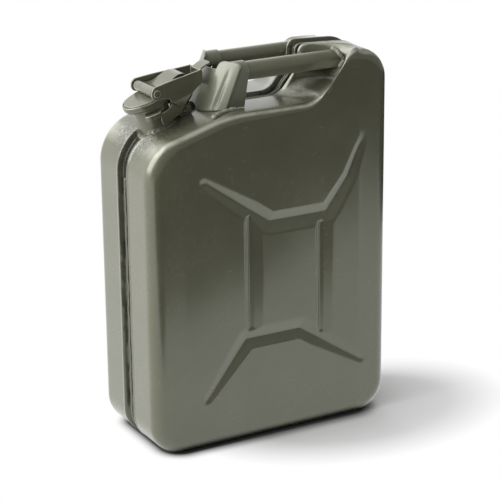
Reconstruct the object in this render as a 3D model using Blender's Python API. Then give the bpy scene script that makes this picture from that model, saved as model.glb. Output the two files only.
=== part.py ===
"""A small sheet-steel fuel can: two welded half shells, a leaning spout, a cam-lever cap and two handles.

Sizes are in millimetres. X runs to the raised end, with the spout at -X and the front face at -Y.
Z rises from the floor.
"""

import math

import bmesh
import bpy
from mathutils import Matrix, Vector
from mathutils.bvhtree import BVHTree
from mathutils.geometry import delaunay_2d_cdt

# Can body
BODY_WIDTH = 224.0
BODY_DEPTH = 100.0
BODY_HEIGHT = 321.0
SHEET = 1.2
EDGE_ROUND = 11.0
BOTTOM_CORNER = 27.0
HUMP_CORNER = 25.0
SHOULDER_CORNER = 27.0
SHOULDER_LENGTH = 74.0
SHOULDER_DROP = 21.5
RECESS_DEPTH = 36.5
RECESS_EDGE_DROP = 7.5
RECESS_ROUND = 7.0
HUMP_LENGTH = 65.0
HUMP_RAMP_LENGTH = 18.0
HUMP_RAMP_HEIGHT = 13.5
NOSE_LEAN = 3.0
NOSE_FLANK_START = 14.0
NOSE_FLANK_POWER = 1.25
FACE_NOSE_SETBACK = 32.0
FACE_RAMP_SETBACK = 12.0
CORNER_STEPS = 5

# Recessed seam
SEAM_GAP = 0.3
GROOVE_HALF_WIDTH = 8.5
GROOVE_DEPTH = 4.6
BEAD_RADIUS = 1.4

# Pressed pattern
PRESS_HALF_WIDTH = 7.7
PRESS_DEPTH = 3.0
PRESS_TAPER = 12.0
PRESS_STEP = 13.0
PRESS_LEFT_MARGIN = 54.0
PRESS_RIGHT_MARGIN = 29.0
PRESS_LOW_MARGIN = 41.5
PRESS_HIGH_MARGIN = 44.5
PRESS_SHORT_ARM = 10.0
PANEL_HALF_WIDTH = 33.8
PANEL_HALF_HEIGHT = 49.25

# Clearance between neighbouring pieces
GAP = 0.3

# Spout
SPOUT_INSET = 33.5
SPOUT_SINK = 5.13
SPOUT_LEAN = math.radians(20.0)
SPOUT_RADIUS = 15.0
SPOUT_WALL = 1.2
SPOUT_LIP_RADIUS = 18.2
SPOUT_LIP_HEIGHT = 2.9
SPOUT_MOUTH = 25.6
SPOUT_TAIL = -2.0
SPOUT_WELD_RADIUS = 1.3
CATCH_RADIUS = 20.5
CATCH_BOTTOM = 16.0
CATCH_TOP = 21.5
CATCH_FROM = math.radians(13.0)
CATCH_TO = math.radians(41.0)
VENT_RADIUS = 2.9
VENT_WALL = 0.8
VENT_OFFSET = 10.3
VENT_LENGTH = 32.0

# Cap
CAP_RADIUS = 21.0
CAP_WALL = 1.2
CAP_SKIRT_END = 24.0
CAP_TOP = 31.0
CAP_DISH = 0.6
CAP_RIM = 2.3
GASKET_INNER_RADIUS = 10.0
RIVET_RADIUS = 2.4
RIVET_HEAD_RADIUS = 5.0
RIVET_HEAD = 1.3

# Hinge and lever
HINGE_REACH = 20.5
HINGE_RISE = 5.81
HINGE_PIN_RADIUS = 2.2
CHEEK_INNER = 8.0
CHEEK_THICKNESS = 1.5
CHEEK_RADIUS = 5.0
PIN_HEAD_RADIUS = 4.2
PIN_HEAD = 1.5
CROSS_ROD_OFFSET = 2.9
CROSS_ROD_RADIUS = 2.7
STRAP = 1.2
ARM_HALF_WIDTH_ROD = 15.2
ARM_HALF_WIDTH_HINGE = 7.6
LEVER_SHEET = 1.5
LEVER_HALF_WIDTH = 17.9
LEVER_TAPER = 0.19
LEVER_NOSE_RADIUS = 4.4
LEVER_LENGTH = 45.0
LEVER_BEND_RADIUS = 3.4
TAB_HALF_WIDTH = 6.5
TAB_LENGTH = 10.0

# Handles and their bracket
HANDLE_DROP = 1.0
HANDLE_Y = 22.5
HANDLE_HALF_WIDTH = 8.0
HANDLE_SIDE = 4.5
HANDLE_WALL = 1.3
HANDLE_RIM = 1.3
HANDLE_LAP = 8.3
BRACKET_SHEET = 1.5
BRACKET_INSET = 12.0
BRACKET_SINK = 4.5
BRACKET_LEAN = 0.5236
BRACKET_CORNER_LEAN = 0.4146
BRACKET_CORNER_SETBACK = 14.0
BRACKET_SADDLE_DROP = 10.5
BRACKET_FLANGE_LENGTH = 22.0
BRACKET_SLEEVE_LENGTH = 26.5
BRACKET_ARCH = 4.5
BRACKET_ARCH_HALF_WIDTH = 8.0
BRACKET_LIP = 0.5
WELD_RADIUS = 1.6

# Places that follow from the sizes
HALF_WIDTH = BODY_WIDTH / 2
HALF_DEPTH = BODY_DEPTH / 2
RECESS_HEIGHT = BODY_HEIGHT - RECESS_DEPTH
SHOULDER_END_HEIGHT = RECESS_HEIGHT - SHOULDER_DROP
RECESS_LEFT = -HALF_WIDTH + SHOULDER_LENGTH
SHOULDER_SLOPE = SHOULDER_DROP / SHOULDER_LENGTH
NOSE_WALL = HALF_WIDTH - HUMP_LENGTH
RECESS_RIGHT = NOSE_WALL - HUMP_RAMP_LENGTH
HANDLE_TOP = BODY_HEIGHT - HANDLE_DROP
HANDLE_CENTRE = HANDLE_TOP - HANDLE_HALF_WIDTH

OLIVE = (0.075, 0.073, 0.05)
DARK = (0.02, 0.02, 0.02)
STEEL = (0.45, 0.45, 0.44)


def shoulder(x):
    """Height of the sloping shoulder on its straight stretch."""
    return RECESS_HEIGHT + (x - RECESS_LEFT) * SHOULDER_SLOPE


SPOUT_X = -HALF_WIDTH + SPOUT_INSET
SPOUT_FOOT = Vector((SPOUT_X, 0.0, shoulder(SPOUT_X) - SPOUT_SINK))
SPOUT_FRAME = Matrix.Translation(SPOUT_FOOT) @ Matrix.Rotation(-SPOUT_LEAN, 4, "Y")
CROSS_ROD_HEIGHT = CAP_TOP + STRAP + CROSS_ROD_RADIUS + 3 * GAP
CROSS_ROD = SPOUT_FRAME @ Vector((CROSS_ROD_OFFSET, 0.0, CROSS_ROD_HEIGHT))
HINGE = Vector((SPOUT_X + HINGE_REACH, 0.0, shoulder(SPOUT_X + HINGE_REACH) + HINGE_RISE))
ALONG_Y = Matrix.Rotation(-math.pi / 2, 4, "X")


def clear_scene():
    for thing in list(bpy.data.objects):
        bpy.data.objects.remove(thing, do_unlink=True)


def material(name, colour, roughness, metallic):
    made = bpy.data.materials.new(name)
    made.use_nodes = True
    shader = made.node_tree.nodes["Principled BSDF"]
    shader.inputs["Base Color"].default_value = (*colour, 1.0)
    shader.inputs["Roughness"].default_value = roughness
    shader.inputs["Metallic"].default_value = metallic
    return made


def place_object(name, data, colour=OLIVE, roughness=0.4, metallic=0.0):
    data.materials.append(material(name, colour, roughness, metallic))
    made = bpy.data.objects.new(name, data)
    bpy.context.scene.collection.objects.link(made)
    return made


def solid(name, shape, origin=(0.0, 0.0, 0.0), smooth=True, closed=True, **look):
    """Object from a bmesh in millimetres, with its origin at a point; a closed one is turned outwards."""
    if closed:
        bmesh.ops.remove_doubles(shape, verts=shape.verts, dist=0.0001)
        bmesh.ops.dissolve_degenerate(shape, edges=shape.edges, dist=0.0001)
        bmesh.ops.recalc_face_normals(shape, faces=shape.faces)
    centre = Vector(origin)
    bmesh.ops.translate(shape, verts=shape.verts, vec=-centre)
    bmesh.ops.scale(shape, verts=shape.verts, vec=(0.001, 0.001, 0.001))
    mesh = bpy.data.meshes.new(name)
    shape.to_mesh(mesh)
    shape.free()
    if smooth:
        mesh.shade_smooth()
        mesh.set_sharp_from_angle(angle=math.radians(35.0))
    made = place_object(name, mesh, **look)
    made.location = centre * 0.001
    return made


def boolean(target, other, operation):
    other.hide_render = True
    other.display_type = "WIRE"
    step = target.modifiers.new(other.name, "BOOLEAN")
    step.operation = operation
    step.solver = "EXACT"
    step.object = other


def turned(name, profile, frame, steps=40, **look):
    """Solid of revolution: a closed profile of (radius, height) pairs spun round the frame's Z axis."""
    shape = bmesh.new()
    points = [shape.verts.new((radius, 0.0, height)) for radius, height in profile]
    edges = [shape.edges.new((points[k - 1], points[k])) for k in range(len(points))]
    whole = 2.0 * math.pi
    centre, axis = (0.0, 0.0, 0.0), (0.0, 0.0, 1.0)
    bmesh.ops.spin(shape, geom=points + edges, cent=centre, axis=axis, angle=whole, steps=steps)
    bmesh.ops.transform(shape, matrix=frame, verts=shape.verts)
    return solid(name, shape, **look)


def prism(name, outline, along, **look):
    """Solid extruded from a closed outline of points, along a vector."""
    shape = bmesh.new()
    shape.faces.new([shape.verts.new(point) for point in outline])
    grown = bmesh.ops.extrude_face_region(shape, geom=shape.faces[:])["geom"]
    moved = [part for part in grown if isinstance(part, bmesh.types.BMVert)]
    bmesh.ops.translate(shape, verts=moved, vec=along)
    return solid(name, shape, **look)


def thickened(name, rows, across, **look):
    """Solid extruded from a sheet of quads between rows of points; across places the far side's points."""
    shape = bmesh.new()
    grid = [[shape.verts.new(point) for point in row] for row in rows]
    for low, high in zip(grid, grid[1:]):
        for i in range(len(low) - 1):
            shape.faces.new((low[i], low[i + 1], high[i + 1], high[i]))
    grown = bmesh.ops.extrude_face_region(shape, geom=shape.faces[:])["geom"]
    for part in grown:
        if isinstance(part, bmesh.types.BMVert):
            part.co = across(part.co)
    return solid(name, shape, **look)


def bead(name, path, radius, resolution=2, closed=False, roughness=0.55):
    """Round bar or weld bead: a bevelled curve along the path, with one radius or one for each point."""
    curve = bpy.data.curves.new(name, "CURVE")
    curve.dimensions = "3D"
    curve.bevel_depth = 0.001
    curve.bevel_resolution = resolution
    curve.use_fill_caps = not closed
    line = curve.splines.new("POLY")
    line.points.add(len(path) - 1)
    line.use_cyclic_u = closed
    sizes = radius if isinstance(radius, list) else [radius] * len(path)
    for point, place, size in zip(line.points, path, sizes):
        point.co = (*(Vector(place) * 0.001), 1.0)
        point.radius = size
    return place_object(name, curve, roughness=roughness)


def bent_rod(name, path, radius, **look):
    """Round bar along a path, as a mesh that a Boolean can cut."""
    bar = bead(name + "_line", path, radius, resolution=4)
    shape = bmesh.new()
    shape.from_mesh(bpy.data.meshes.new_from_object(bar))
    bpy.data.objects.remove(bar, do_unlink=True)
    bmesh.ops.scale(shape, verts=shape.verts, vec=(1000.0, 1000.0, 1000.0))
    return solid(name, shape, **look)


def rounded(corners, steps):
    """Closed outline with each corner eased over its own cut; equal steps give matching outlines."""
    out = []
    count = len(corners)
    for k, (x, z, cut) in enumerate(corners):
        here = Vector((x, z))
        before = Vector(corners[k - 1][:2])
        after = Vector(corners[(k + 1) % count][:2])
        start = here + (before - here).normalized() * cut
        end = here + (after - here).normalized() * cut
        lead = start.lerp(here, 0.5523)
        trail = end.lerp(here, 0.5523)
        for s in range(steps + 1):
            t = s / steps
            u = 1.0 - t
            out.append(start * u**3 + lead * 3 * t * u**2 + trail * 3 * t**2 * u + end * t**3)
    return out


def seam_outline():
    """Side wall outline next to the seam, counterclockwise from the bottom left corner."""
    lean = NOSE_LEAN / 2
    return rounded(
        [
            (-HALF_WIDTH, 0.0, BOTTOM_CORNER),
            (HALF_WIDTH, 0.0, BOTTOM_CORNER),
            (HALF_WIDTH, BODY_HEIGHT, HUMP_CORNER),
            (NOSE_WALL + lean, BODY_HEIGHT, RECESS_ROUND - 1.0),
            (NOSE_WALL - lean, RECESS_HEIGHT + HUMP_RAMP_HEIGHT, RECESS_ROUND),
            (RECESS_RIGHT, RECESS_HEIGHT, RECESS_ROUND),
            (RECESS_LEFT, RECESS_HEIGHT, 2 * RECESS_ROUND),
            (-HALF_WIDTH, SHOULDER_END_HEIGHT, SHOULDER_CORNER),
        ],
        CORNER_STEPS,
    )


def face_outline():
    """Outline of the flat front face, matching the seam outline corner by corner."""
    half = HALF_WIDTH - EDGE_ROUND
    top = BODY_HEIGHT - EDGE_ROUND
    recess = RECESS_HEIGHT - RECESS_EDGE_DROP
    nose = NOSE_WALL + FACE_NOSE_SETBACK
    ramp = RECESS_RIGHT + FACE_RAMP_SETBACK
    return rounded(
        [
            (-half, EDGE_ROUND, BOTTOM_CORNER - EDGE_ROUND),
            (half, EDGE_ROUND, BOTTOM_CORNER - EDGE_ROUND),
            (half, top, HUMP_CORNER - 10.0),
            (nose, top, RECESS_ROUND - 2.0),
            ((nose + ramp) / 2, (top + recess) / 2 + 1.0, RECESS_ROUND - 2.0),
            (ramp, recess, RECESS_ROUND + 3.0),
            (RECESS_LEFT, recess, 2 * RECESS_ROUND + 1.0),
            (-half, SHOULDER_END_HEIGHT - EDGE_ROUND + 5.0, SHOULDER_CORNER - 7.0),
        ],
        CORNER_STEPS,
    )


def eased(y, start, power):
    """Share of the way from the side wall to the face outline at depth y."""
    t = min(1.0, max(0.0, (y - start) / (HALF_DEPTH - start)))
    return 1.0 - (1.0 - t**power) ** (1.0 / power)


def inward(outline, index):
    """Unit normal of the outline pointing into the can."""
    along = (outline[(index + 1) % len(outline)] - outline[index - 1]).normalized()
    return Vector((-along.y, along.x))


def side_point(index, seam, face, y, inset):
    """Point of the outer skin at depth y, on the line between matching outline points, moved in by inset."""
    corner = index // (CORNER_STEPS + 1)
    roll = HALF_DEPTH - EDGE_ROUND
    along_x = eased(y, NOSE_FLANK_START, NOSE_FLANK_POWER) if corner in (3, 4, 5) else eased(y, roll, 2.0)
    along_z = eased(y, roll + 4.0, 2.0) if corner in (5, 6) else eased(y, roll, 2.0)
    into = inward(seam, index) * inset
    x = seam[index].x + (face[index].x - seam[index].x) * along_x + into.x
    z = seam[index].y + (face[index].y - seam[index].y) * along_z + into.y
    return Vector((x, -y, z))


def press_lines():
    """Valley lines of the pressed grooves; the pattern repeats when turned half a turn about its centre."""
    left = -HALF_WIDTH + PRESS_LEFT_MARGIN
    right = HALF_WIDTH - PRESS_RIGHT_MARGIN
    high = RECESS_HEIGHT - PRESS_HIGH_MARGIN
    cx = (left + right) / 2
    cz = (PRESS_LOW_MARGIN + high) / 2
    inner, edge = cx - PANEL_HALF_WIDTH, cz + PANEL_HALF_HEIGHT
    knee = (inner, edge + 12.9)
    short_arm = [(left - 3.0, high - PRESS_SHORT_ARM), knee, (inner + 18.8, edge)]
    long_arm = [(cx + 40.5, edge), (right - 7.0, high - 19.0), (right, high)]
    half = [short_arm + long_arm, [knee, (inner, cz - PANEL_HALF_HEIGHT)]]
    return half + [[(2 * cx - x, 2 * cz - z) for x, z in line] for line in half]


def press_depth(x, z, lines):
    """Depth of the V groove at a point of the face, fading out towards the free ends."""
    depth = 0.0
    here = Vector((x, z))
    for line in lines:
        stops = [Vector(p) for p in line]
        length = sum((b - a).length for a, b in zip(stops, stops[1:]))
        walked = 0.0
        for a, b in zip(stops, stops[1:]):
            span = (b - a).length
            t = min(1.0, max(0.0, (here - a).dot(b - a) / span**2))
            away = (here - a.lerp(b, t)).length
            run = walked + t * span
            end = min(run, length - run) if len(line) > 2 else PRESS_TAPER
            taper = min(1.0, end / PRESS_TAPER)
            depth = max(depth, PRESS_DEPTH * taper * (1.0 - away / PRESS_HALF_WIDTH))
            walked += span
    return depth


def groove_stations(line):
    """Points along a valley line about one step apart, its own corners included."""
    stations = [Vector(line[0])]
    for a, b in zip(line, line[1:]):
        a, b = Vector(a), Vector(b)
        pieces = max(1, round((b - a).length / PRESS_STEP))
        stations += [a.lerp(b, k / pieces) for k in range(1, pieces + 1)]
    return stations


def pressed_face(face):
    """Points and triangles of the face with its grooves, and the indices of the outline's points."""
    lines = press_lines()
    points = [Vector(p) for p in face]
    edges = []
    for line in lines:
        stations = groove_stations(line)
        first = len(points)
        points += stations
        edges += [(first + k, first + k + 1) for k in range(len(stations) - 1)]
        for k, here in enumerate(stations):
            along = (stations[min(k + 1, len(stations) - 1)] - stations[max(k - 1, 0)]).normalized()
            off = Vector((-along.y, along.x)) * PRESS_HALF_WIDTH
            points += [side for side in (here + off, here - off) if press_depth(*side, lines) < 0.05]
    made = delaunay_2d_cdt(points, edges, [list(range(len(face)))], 1, 0.01)
    where = {old: new for new, olds in enumerate(made[3]) for old in olds}
    flat = [Vector((p.x, press_depth(p.x, p.y, lines) - HALF_DEPTH, p.y)) for p in made[0]]
    return flat, made[2], [where[k] for k in range(len(face))]


def skin_rows():
    """Depth from the middle plane and inset of each line round the side, from the face to the seam."""
    wall = HALF_DEPTH - EDGE_ROUND - GROOVE_HALF_WIDTH
    roll = [math.radians(a) for a in (75, 60, 44, 28, 13, 0)]
    rows = [(HALF_DEPTH - EDGE_ROUND * (1.0 - math.sin(a)), 0.0) for a in roll]
    rows += [(GROOVE_HALF_WIDTH + wall * share, 0.0) for share in (0.87, 0.7, 0.5, 0.18)]
    steps = ((1.0, 0.0), (0.82, 0.12), (0.7, 0.45), (0.6, 0.85), (0.42, 1.0))
    rows += [(GROOVE_HALF_WIDTH * across, GROOVE_DEPTH * down) for across, down in steps]
    return rows + [(SEAM_GAP / 2, GROOVE_DEPTH)]


def front_skin():
    """Outer skin of the front half as an open sheet: the face, then its rim extruded once for each row."""
    seam, face = seam_outline(), face_outline()
    flat, triangles, rim = pressed_face(face)
    shape = bmesh.new()
    turn = shape.verts.layers.int.new("turn")
    verts = [shape.verts.new(p) for p in flat]
    for k, index in enumerate(rim):
        verts[index][turn] = k
    for corners in triangles:
        shape.faces.new([verts[k] for k in corners])
    edges = [edge for edge in shape.edges if edge.is_boundary]
    for y, inset in skin_rows():
        grown = bmesh.ops.extrude_edge_only(shape, edges=edges)["geom"]
        for part in grown:
            if isinstance(part, bmesh.types.BMVert):
                part.co = side_point(part[turn], seam, face, y, inset)
        edges = [part for part in grown if isinstance(part, bmesh.types.BMEdge) and part.is_boundary]
    bmesh.ops.recalc_face_normals(shape, faces=shape.faces)
    if max(shape.faces, key=lambda f: f.calc_area()).normal.y > 0.0:
        bmesh.ops.reverse_faces(shape, faces=shape.faces)
    return shape


def half_shell(name, shape):
    """Skin with its sheet thickness and the hole for the spout."""
    made = solid(name, shape, closed=False, roughness=0.35)
    thick = made.modifiers.new("sheet", "SOLIDIFY")
    thick.thickness = SHEET * 0.001
    thick.offset = -1.0
    thick.use_even_offset = True
    radius = SPOUT_RADIUS + GAP
    low, high = SPOUT_TAIL - SPOUT_RADIUS, SPOUT_MOUTH
    rod = [(0.0, low), (radius, low), (radius, high), (0.0, high)]
    boolean(made, turned(name + "_spout_hole", rod, SPOUT_FRAME), "DIFFERENCE")


def shells():
    """Front half and its mirror image behind the seam; returns the search tree of the front skin."""
    front = front_skin()
    tree = BVHTree.FromBMesh(front)
    rear = front.copy()
    bmesh.ops.scale(rear, verts=rear.verts, vec=(1.0, -1.0, 1.0))
    bmesh.ops.reverse_faces(rear, faces=rear.faces)
    half_shell("front_shell", front)
    half_shell("rear_shell", rear)
    return tree


def surface_height(tree, x, y):
    """Height of the can's top surface; the seam groove counts as filled."""
    beside = -max(abs(y), GROOVE_HALF_WIDTH + 0.5)
    hit = tree.ray_cast(Vector((x, beside, 2 * BODY_HEIGHT)), Vector((0.0, 0.0, -1.0)))
    return hit[0].z


def wall_reach(tree, y, z):
    """X where the hump's nose meets a line along X, and the outward normal there."""
    low = Vector((NOSE_WALL - HUMP_LENGTH, -abs(y), min(z, BODY_HEIGHT - RECESS_ROUND / 4)))
    hit = tree.ray_cast(low, Vector((1.0, 0.0, 0.0)))
    return hit[0].x, hit[1]


def seam_weld():
    """Bead along the bottom of the seam groove, left open where the spout and the hinge bracket stand."""
    seam = seam_outline()
    depth = GROOVE_DEPTH - BEAD_RADIUS - GAP
    normal = Vector((SHOULDER_SLOPE, -1.0)).normalized()
    x = HINGE.x + CHEEK_RADIUS - 4.0
    points = [(x + depth * normal.x, 0.0, shoulder(x) + depth * normal.y)]
    start = len(seam) - CORNER_STEPS - 2
    for k in range(len(seam) - 2):
        index = (start - k) % len(seam)
        into = inward(seam, index) * depth
        points.append((seam[index].x + into.x, 0.0, seam[index].y + into.y))
    bead("seam_weld", points, BEAD_RADIUS, resolution=1)


def neck_tube():
    """Spout tube with a rolled lip."""
    bore = SPOUT_RADIUS - SPOUT_WALL
    lip, mouth = SPOUT_LIP_RADIUS, SPOUT_MOUTH
    under = mouth - SPOUT_LIP_HEIGHT
    profile = [
        (bore, SPOUT_TAIL),
        (SPOUT_RADIUS, SPOUT_TAIL),
        (SPOUT_RADIUS, under - 0.3),
        (lip - 0.8, under),
        (lip, under + 0.8),
        (lip, mouth - 0.9),
        (lip - 0.8, mouth),
        (bore + 0.7, mouth),
        (bore, mouth - 0.7),
    ]
    turned("neck_tube", profile, SPOUT_FRAME)


def neck_weld(tree):
    """Weld ring that follows the surface round the foot of the spout."""
    reach = SPOUT_RADIUS + GAP + SPOUT_WELD_RADIUS
    lift = (SPOUT_WELD_RADIUS + GAP) * 1.18
    ring = []
    for k in range(36):
        a = 2.0 * math.pi * k / 36
        low = SPOUT_FRAME @ Vector((reach * math.cos(a), reach * math.sin(a), SPOUT_TAIL - 6.0))
        high = SPOUT_FRAME @ Vector((reach * math.cos(a), reach * math.sin(a), SPOUT_MOUTH))
        steps = (low.lerp(high, s / 200) for s in range(200))
        ring.append(next(p for p in steps if p.z - lift > surface_height(tree, p.x, p.y)))
    bead("neck_weld", ring, SPOUT_WELD_RADIUS, closed=True)


def catches():
    """Two ears on the sides of the spout, where the lever's toes come down."""
    for name, side in (("front_catch", -1), ("rear_catch", 1)):
        angles = [CATCH_FROM + (CATCH_TO - CATCH_FROM) * k / 5 for k in range(6)]
        outline = [(radius, a) for radius, a in [(CATCH_RADIUS, a) for a in angles]]
        outline += [(SPOUT_RADIUS + GAP, a) for a in reversed(angles)]
        flat = [Vector((-r * math.sin(a), side * r * math.cos(a), CATCH_BOTTOM)) for r, a in outline]
        low = [SPOUT_FRAME @ p for p in flat]
        along = SPOUT_FRAME.to_3x3() @ Vector((0.0, 0.0, CATCH_TOP - CATCH_BOTTOM))
        prism(name, low, along, smooth=False)


def vent_tube():
    """Breather tube inside the spout, bent under the shoulder into the can."""
    heights = (SPOUT_MOUTH - 5.6, SPOUT_MOUTH / 3, SPOUT_TAIL - 2.0, SPOUT_TAIL - 7.0)
    path = [SPOUT_FRAME @ Vector((VENT_OFFSET, 0.0, h)) for h in heights]
    end = path[-1]
    bend = ((0.12, 0.19), (0.34, 0.3), (1.0, 0.31))
    path += [end + Vector((VENT_LENGTH * x, 0.0, -VENT_LENGTH * z)) for x, z in bend]
    look = {"colour": STEEL, "roughness": 0.35, "metallic": 1.0}
    tube = bent_rod("vent_tube", path, VENT_RADIUS, **look)
    first = path[0] + (path[0] - path[1]).normalized() * 2.0
    last = path[-1] + (path[-1] - path[-2]).normalized() * 2.0
    boolean(tube, bent_rod("vent_bore", [first, *path[1:-1], last], VENT_RADIUS - VENT_WALL), "DIFFERENCE")


def cap():
    """Pressed cap with a raised rim and the rivet hole."""
    top, wall, radius = CAP_TOP, CAP_WALL, CAP_RADIUS
    inside = top - CAP_DISH - wall
    hole = RIVET_RADIUS + GAP
    profile = [
        (radius - wall, CAP_SKIRT_END),
        (radius, CAP_SKIRT_END),
        (radius, top - 1.5),
        (radius - 0.4, top - 0.4),
        (radius - 1.4, top),
        (radius - CAP_RIM, top),
        (radius - CAP_RIM - 0.7, top - CAP_DISH),
        (hole, top - CAP_DISH),
        (hole, inside),
        (radius - wall, inside),
    ]
    turned("cap", profile, SPOUT_FRAME, steps=44, origin=HINGE)


def cap_gasket():
    """Rubber ring between the spout's lip and the cap."""
    outer = CAP_RADIUS - CAP_WALL - 2 * GAP
    low = SPOUT_MOUTH + GAP
    high = CAP_TOP - CAP_DISH - CAP_WALL - GAP
    ring = [(GASKET_INNER_RADIUS, low), (outer, low), (outer, high), (GASKET_INNER_RADIUS, high)]
    turned("cap_gasket", ring, SPOUT_FRAME, colour=DARK, roughness=0.8, origin=HINGE)


def cap_rivet():
    """Rivet that hangs the cap under the strap."""
    reach = CROSS_ROD_HEIGHT - CROSS_ROD_RADIUS - STRAP - 2 * GAP
    head = CAP_TOP - CAP_DISH - CAP_WALL - GAP
    pin = [
        (0.0, head - RIVET_HEAD),
        (RIVET_HEAD_RADIUS - 0.6, head - RIVET_HEAD),
        (RIVET_HEAD_RADIUS, head - RIVET_HEAD + 0.6),
        (RIVET_HEAD_RADIUS, head),
        (RIVET_RADIUS, head),
        (RIVET_RADIUS, reach),
        (0.0, reach),
    ]
    turned("cap_rivet", pin, SPOUT_FRAME, steps=20, origin=HINGE)


def headed_pin(name, centre, radius, half, origin):
    """Pin along Y with a low round head at each end."""
    out = half + PIN_HEAD
    profile = [
        (0.0, -out),
        (PIN_HEAD_RADIUS - 0.5, -out),
        (PIN_HEAD_RADIUS, 0.5 - out),
        (PIN_HEAD_RADIUS, -half),
        (radius, -half),
        (radius, half),
        (PIN_HEAD_RADIUS, half),
        (PIN_HEAD_RADIUS, out - 0.5),
        (PIN_HEAD_RADIUS - 0.5, out),
        (0.0, out),
    ]
    turned(name, profile, Matrix.Translation(centre) @ ALONG_Y, steps=24, origin=origin)


def hinge_bracket():
    """Folded bracket behind the spout: a base on the shoulder and two cheeks with the pin hole."""
    left, right = HINGE.x - CHEEK_RADIUS + 0.6, HINGE.x + CHEEK_RADIUS
    low = [(left, shoulder(left) + GAP), (right, shoulder(right) + GAP)]
    half = CHEEK_INNER + CHEEK_THICKNESS / 2
    base = low + [(x, z + SHEET) for x, z in reversed(low)]
    bracket = prism("hinge_bracket", [(x, -half, z) for x, z in base], (0.0, 2 * half, 0.0), smooth=False)
    arc = [math.radians(30 * k) for k in range(7)]
    radius = CHEEK_RADIUS
    outline = low + [(HINGE.x + radius * math.cos(a), HINGE.z + radius * math.sin(a)) for a in arc]
    for side in (-1, 1):
        cheek = [(x, side * CHEEK_INNER, z) for x, z in outline]
        grown = prism("cheek" + str(side), cheek, (0.0, side * CHEEK_THICKNESS, 0.0), smooth=False)
        boolean(bracket, grown, "UNION")
    hole, reach = HINGE_PIN_RADIUS + GAP, 2 * half
    drill = [(0.0, -reach), (hole, -reach), (hole, reach), (0.0, reach)]
    boolean(bracket, turned("pin_hole", drill, Matrix.Translation(HINGE) @ ALONG_Y, steps=24), "DIFFERENCE")


def hinge_pin():
    headed_pin("hinge_pin", HINGE, HINGE_PIN_RADIUS, CHEEK_INNER + CHEEK_THICKNESS + GAP, HINGE)


def lever_pin():
    headed_pin("lever_pin", CROSS_ROD, CROSS_ROD_RADIUS, LEVER_HALF_WIDTH + LEVER_SHEET / 2 + 4 * GAP, HINGE)


def arm_line():
    """Middle line of the strap: round the cross rod, over the cap, down and round the hinge pin."""
    roll = CROSS_ROD_RADIUS + GAP + STRAP / 2
    knuckle = HINGE_PIN_RADIUS + GAP + STRAP / 2
    line = []
    for k in range(13):
        a = math.radians(105.0 + 280.0 * (1 - k / 12))
        line.append(Vector((CROSS_ROD.x + roll * math.cos(a), CROSS_ROD.z + roll * math.sin(a))))
    fold = (HINGE.x + 4.3, CROSS_ROD.z + 10.3)
    over = [(CROSS_ROD.x + 10.0, CROSS_ROD.z + 6.4)]
    over += [(fold[0] - 13.3, fold[1] - 1.0), (fold[0] - 8.3, fold[1])]
    down = [(fold[0] - 4.3, fold[1]), (fold[0] - 1.5, fold[1] - 1.6)]
    down += [(fold[0], fold[1] - 4.5), (fold[0] + 0.3, fold[1] - 9.5)]
    line += [Vector(p) for p in over + down]
    line.append(Vector((HINGE.x + 4.2, HINGE.z + 9.5)))
    for k in range(13):
        a = -math.radians(285.0) * k / 12
        line.append(Vector((HINGE.x + knuckle * math.cos(a), HINGE.z + knuckle * math.sin(a))))
    return line


def arm_half_width(k, here):
    """Half width of the strap: as wide as the lever leaves it over the cap, narrow between the cheeks."""
    wide = min(ARM_HALF_WIDTH_ROD, lever_spread(here.x) - LEVER_SHEET / 2 - 3 * GAP)
    narrow = 0.0
    if k > 17:
        narrow = min(1.0, max(0.0, (CROSS_ROD.z + 4.0 - here.y) / 14.0))
    return wide + (ARM_HALF_WIDTH_HINGE - wide) * narrow


def closure_arm():
    """Wide strap rolled round the cross rod, bent over the cap and down to the hinge pin."""
    line = arm_line()
    rows = [[], []]
    for k, here in enumerate(line):
        along = (line[min(k + 1, len(line) - 1)] - line[max(k - 1, 0)]).normalized()
        off = Vector((-along.y, along.x)) * STRAP / 2
        wide = arm_half_width(k, here)
        rows[0].append((here.x + off.x, -wide, here.y + off.y))
        rows[1].append((here.x - off.x, -wide, here.y - off.y))
    thickened("closure_arm", rows, lambda p: Vector((p.x, -p.y, p.z)), origin=HINGE)


def lever_spread(x):
    """Distance of a lever side plate's middle from the can's middle plane."""
    return LEVER_HALF_WIDTH - LEVER_TAPER * (x - CROSS_ROD.x)


def lever_outline():
    """Side plate of the lever: rounded nose, upper edge, cut-off end, toe and the notch for the cap."""
    nose = [math.radians(250 - 20 * k) for k in range(7)]
    outline = [(LEVER_NOSE_RADIUS * math.cos(a), LEVER_NOSE_RADIUS * math.sin(a)) for a in nose]
    top = [(0.0, 0.12), (0.333, 0.193), (0.756, 0.244), (1.0, 0.284)]
    end = [(1.033, 0.04), (0.867, -0.049), (0.756, -0.147), (0.676, -0.253), (0.618, -0.333), (0.522, -0.44)]
    toe = [(0.342, -0.527), (0.14, -0.596), (0.089, -0.493), (0.084, -0.382), (0.178, -0.347), (0.311, -0.28)]
    notch = [(0.378, -0.191), (0.391, -0.071), (0.364, 0.036), (0.178, -0.018)]
    outline += [(LEVER_LENGTH * x, LEVER_LENGTH * z) for x, z in top + end + toe + notch]
    return [(CROSS_ROD.x + x, CROSS_ROD.z + z) for x, z in outline]


def lever_plate(name, side, **look):
    outline = lever_outline()
    half = LEVER_SHEET / 2
    plate = [(x, side * lever_spread(x) - half, z) for x, z in outline]
    return prism(name, plate, (0.0, 2 * half, 0.0), smooth=False, **look)


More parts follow.
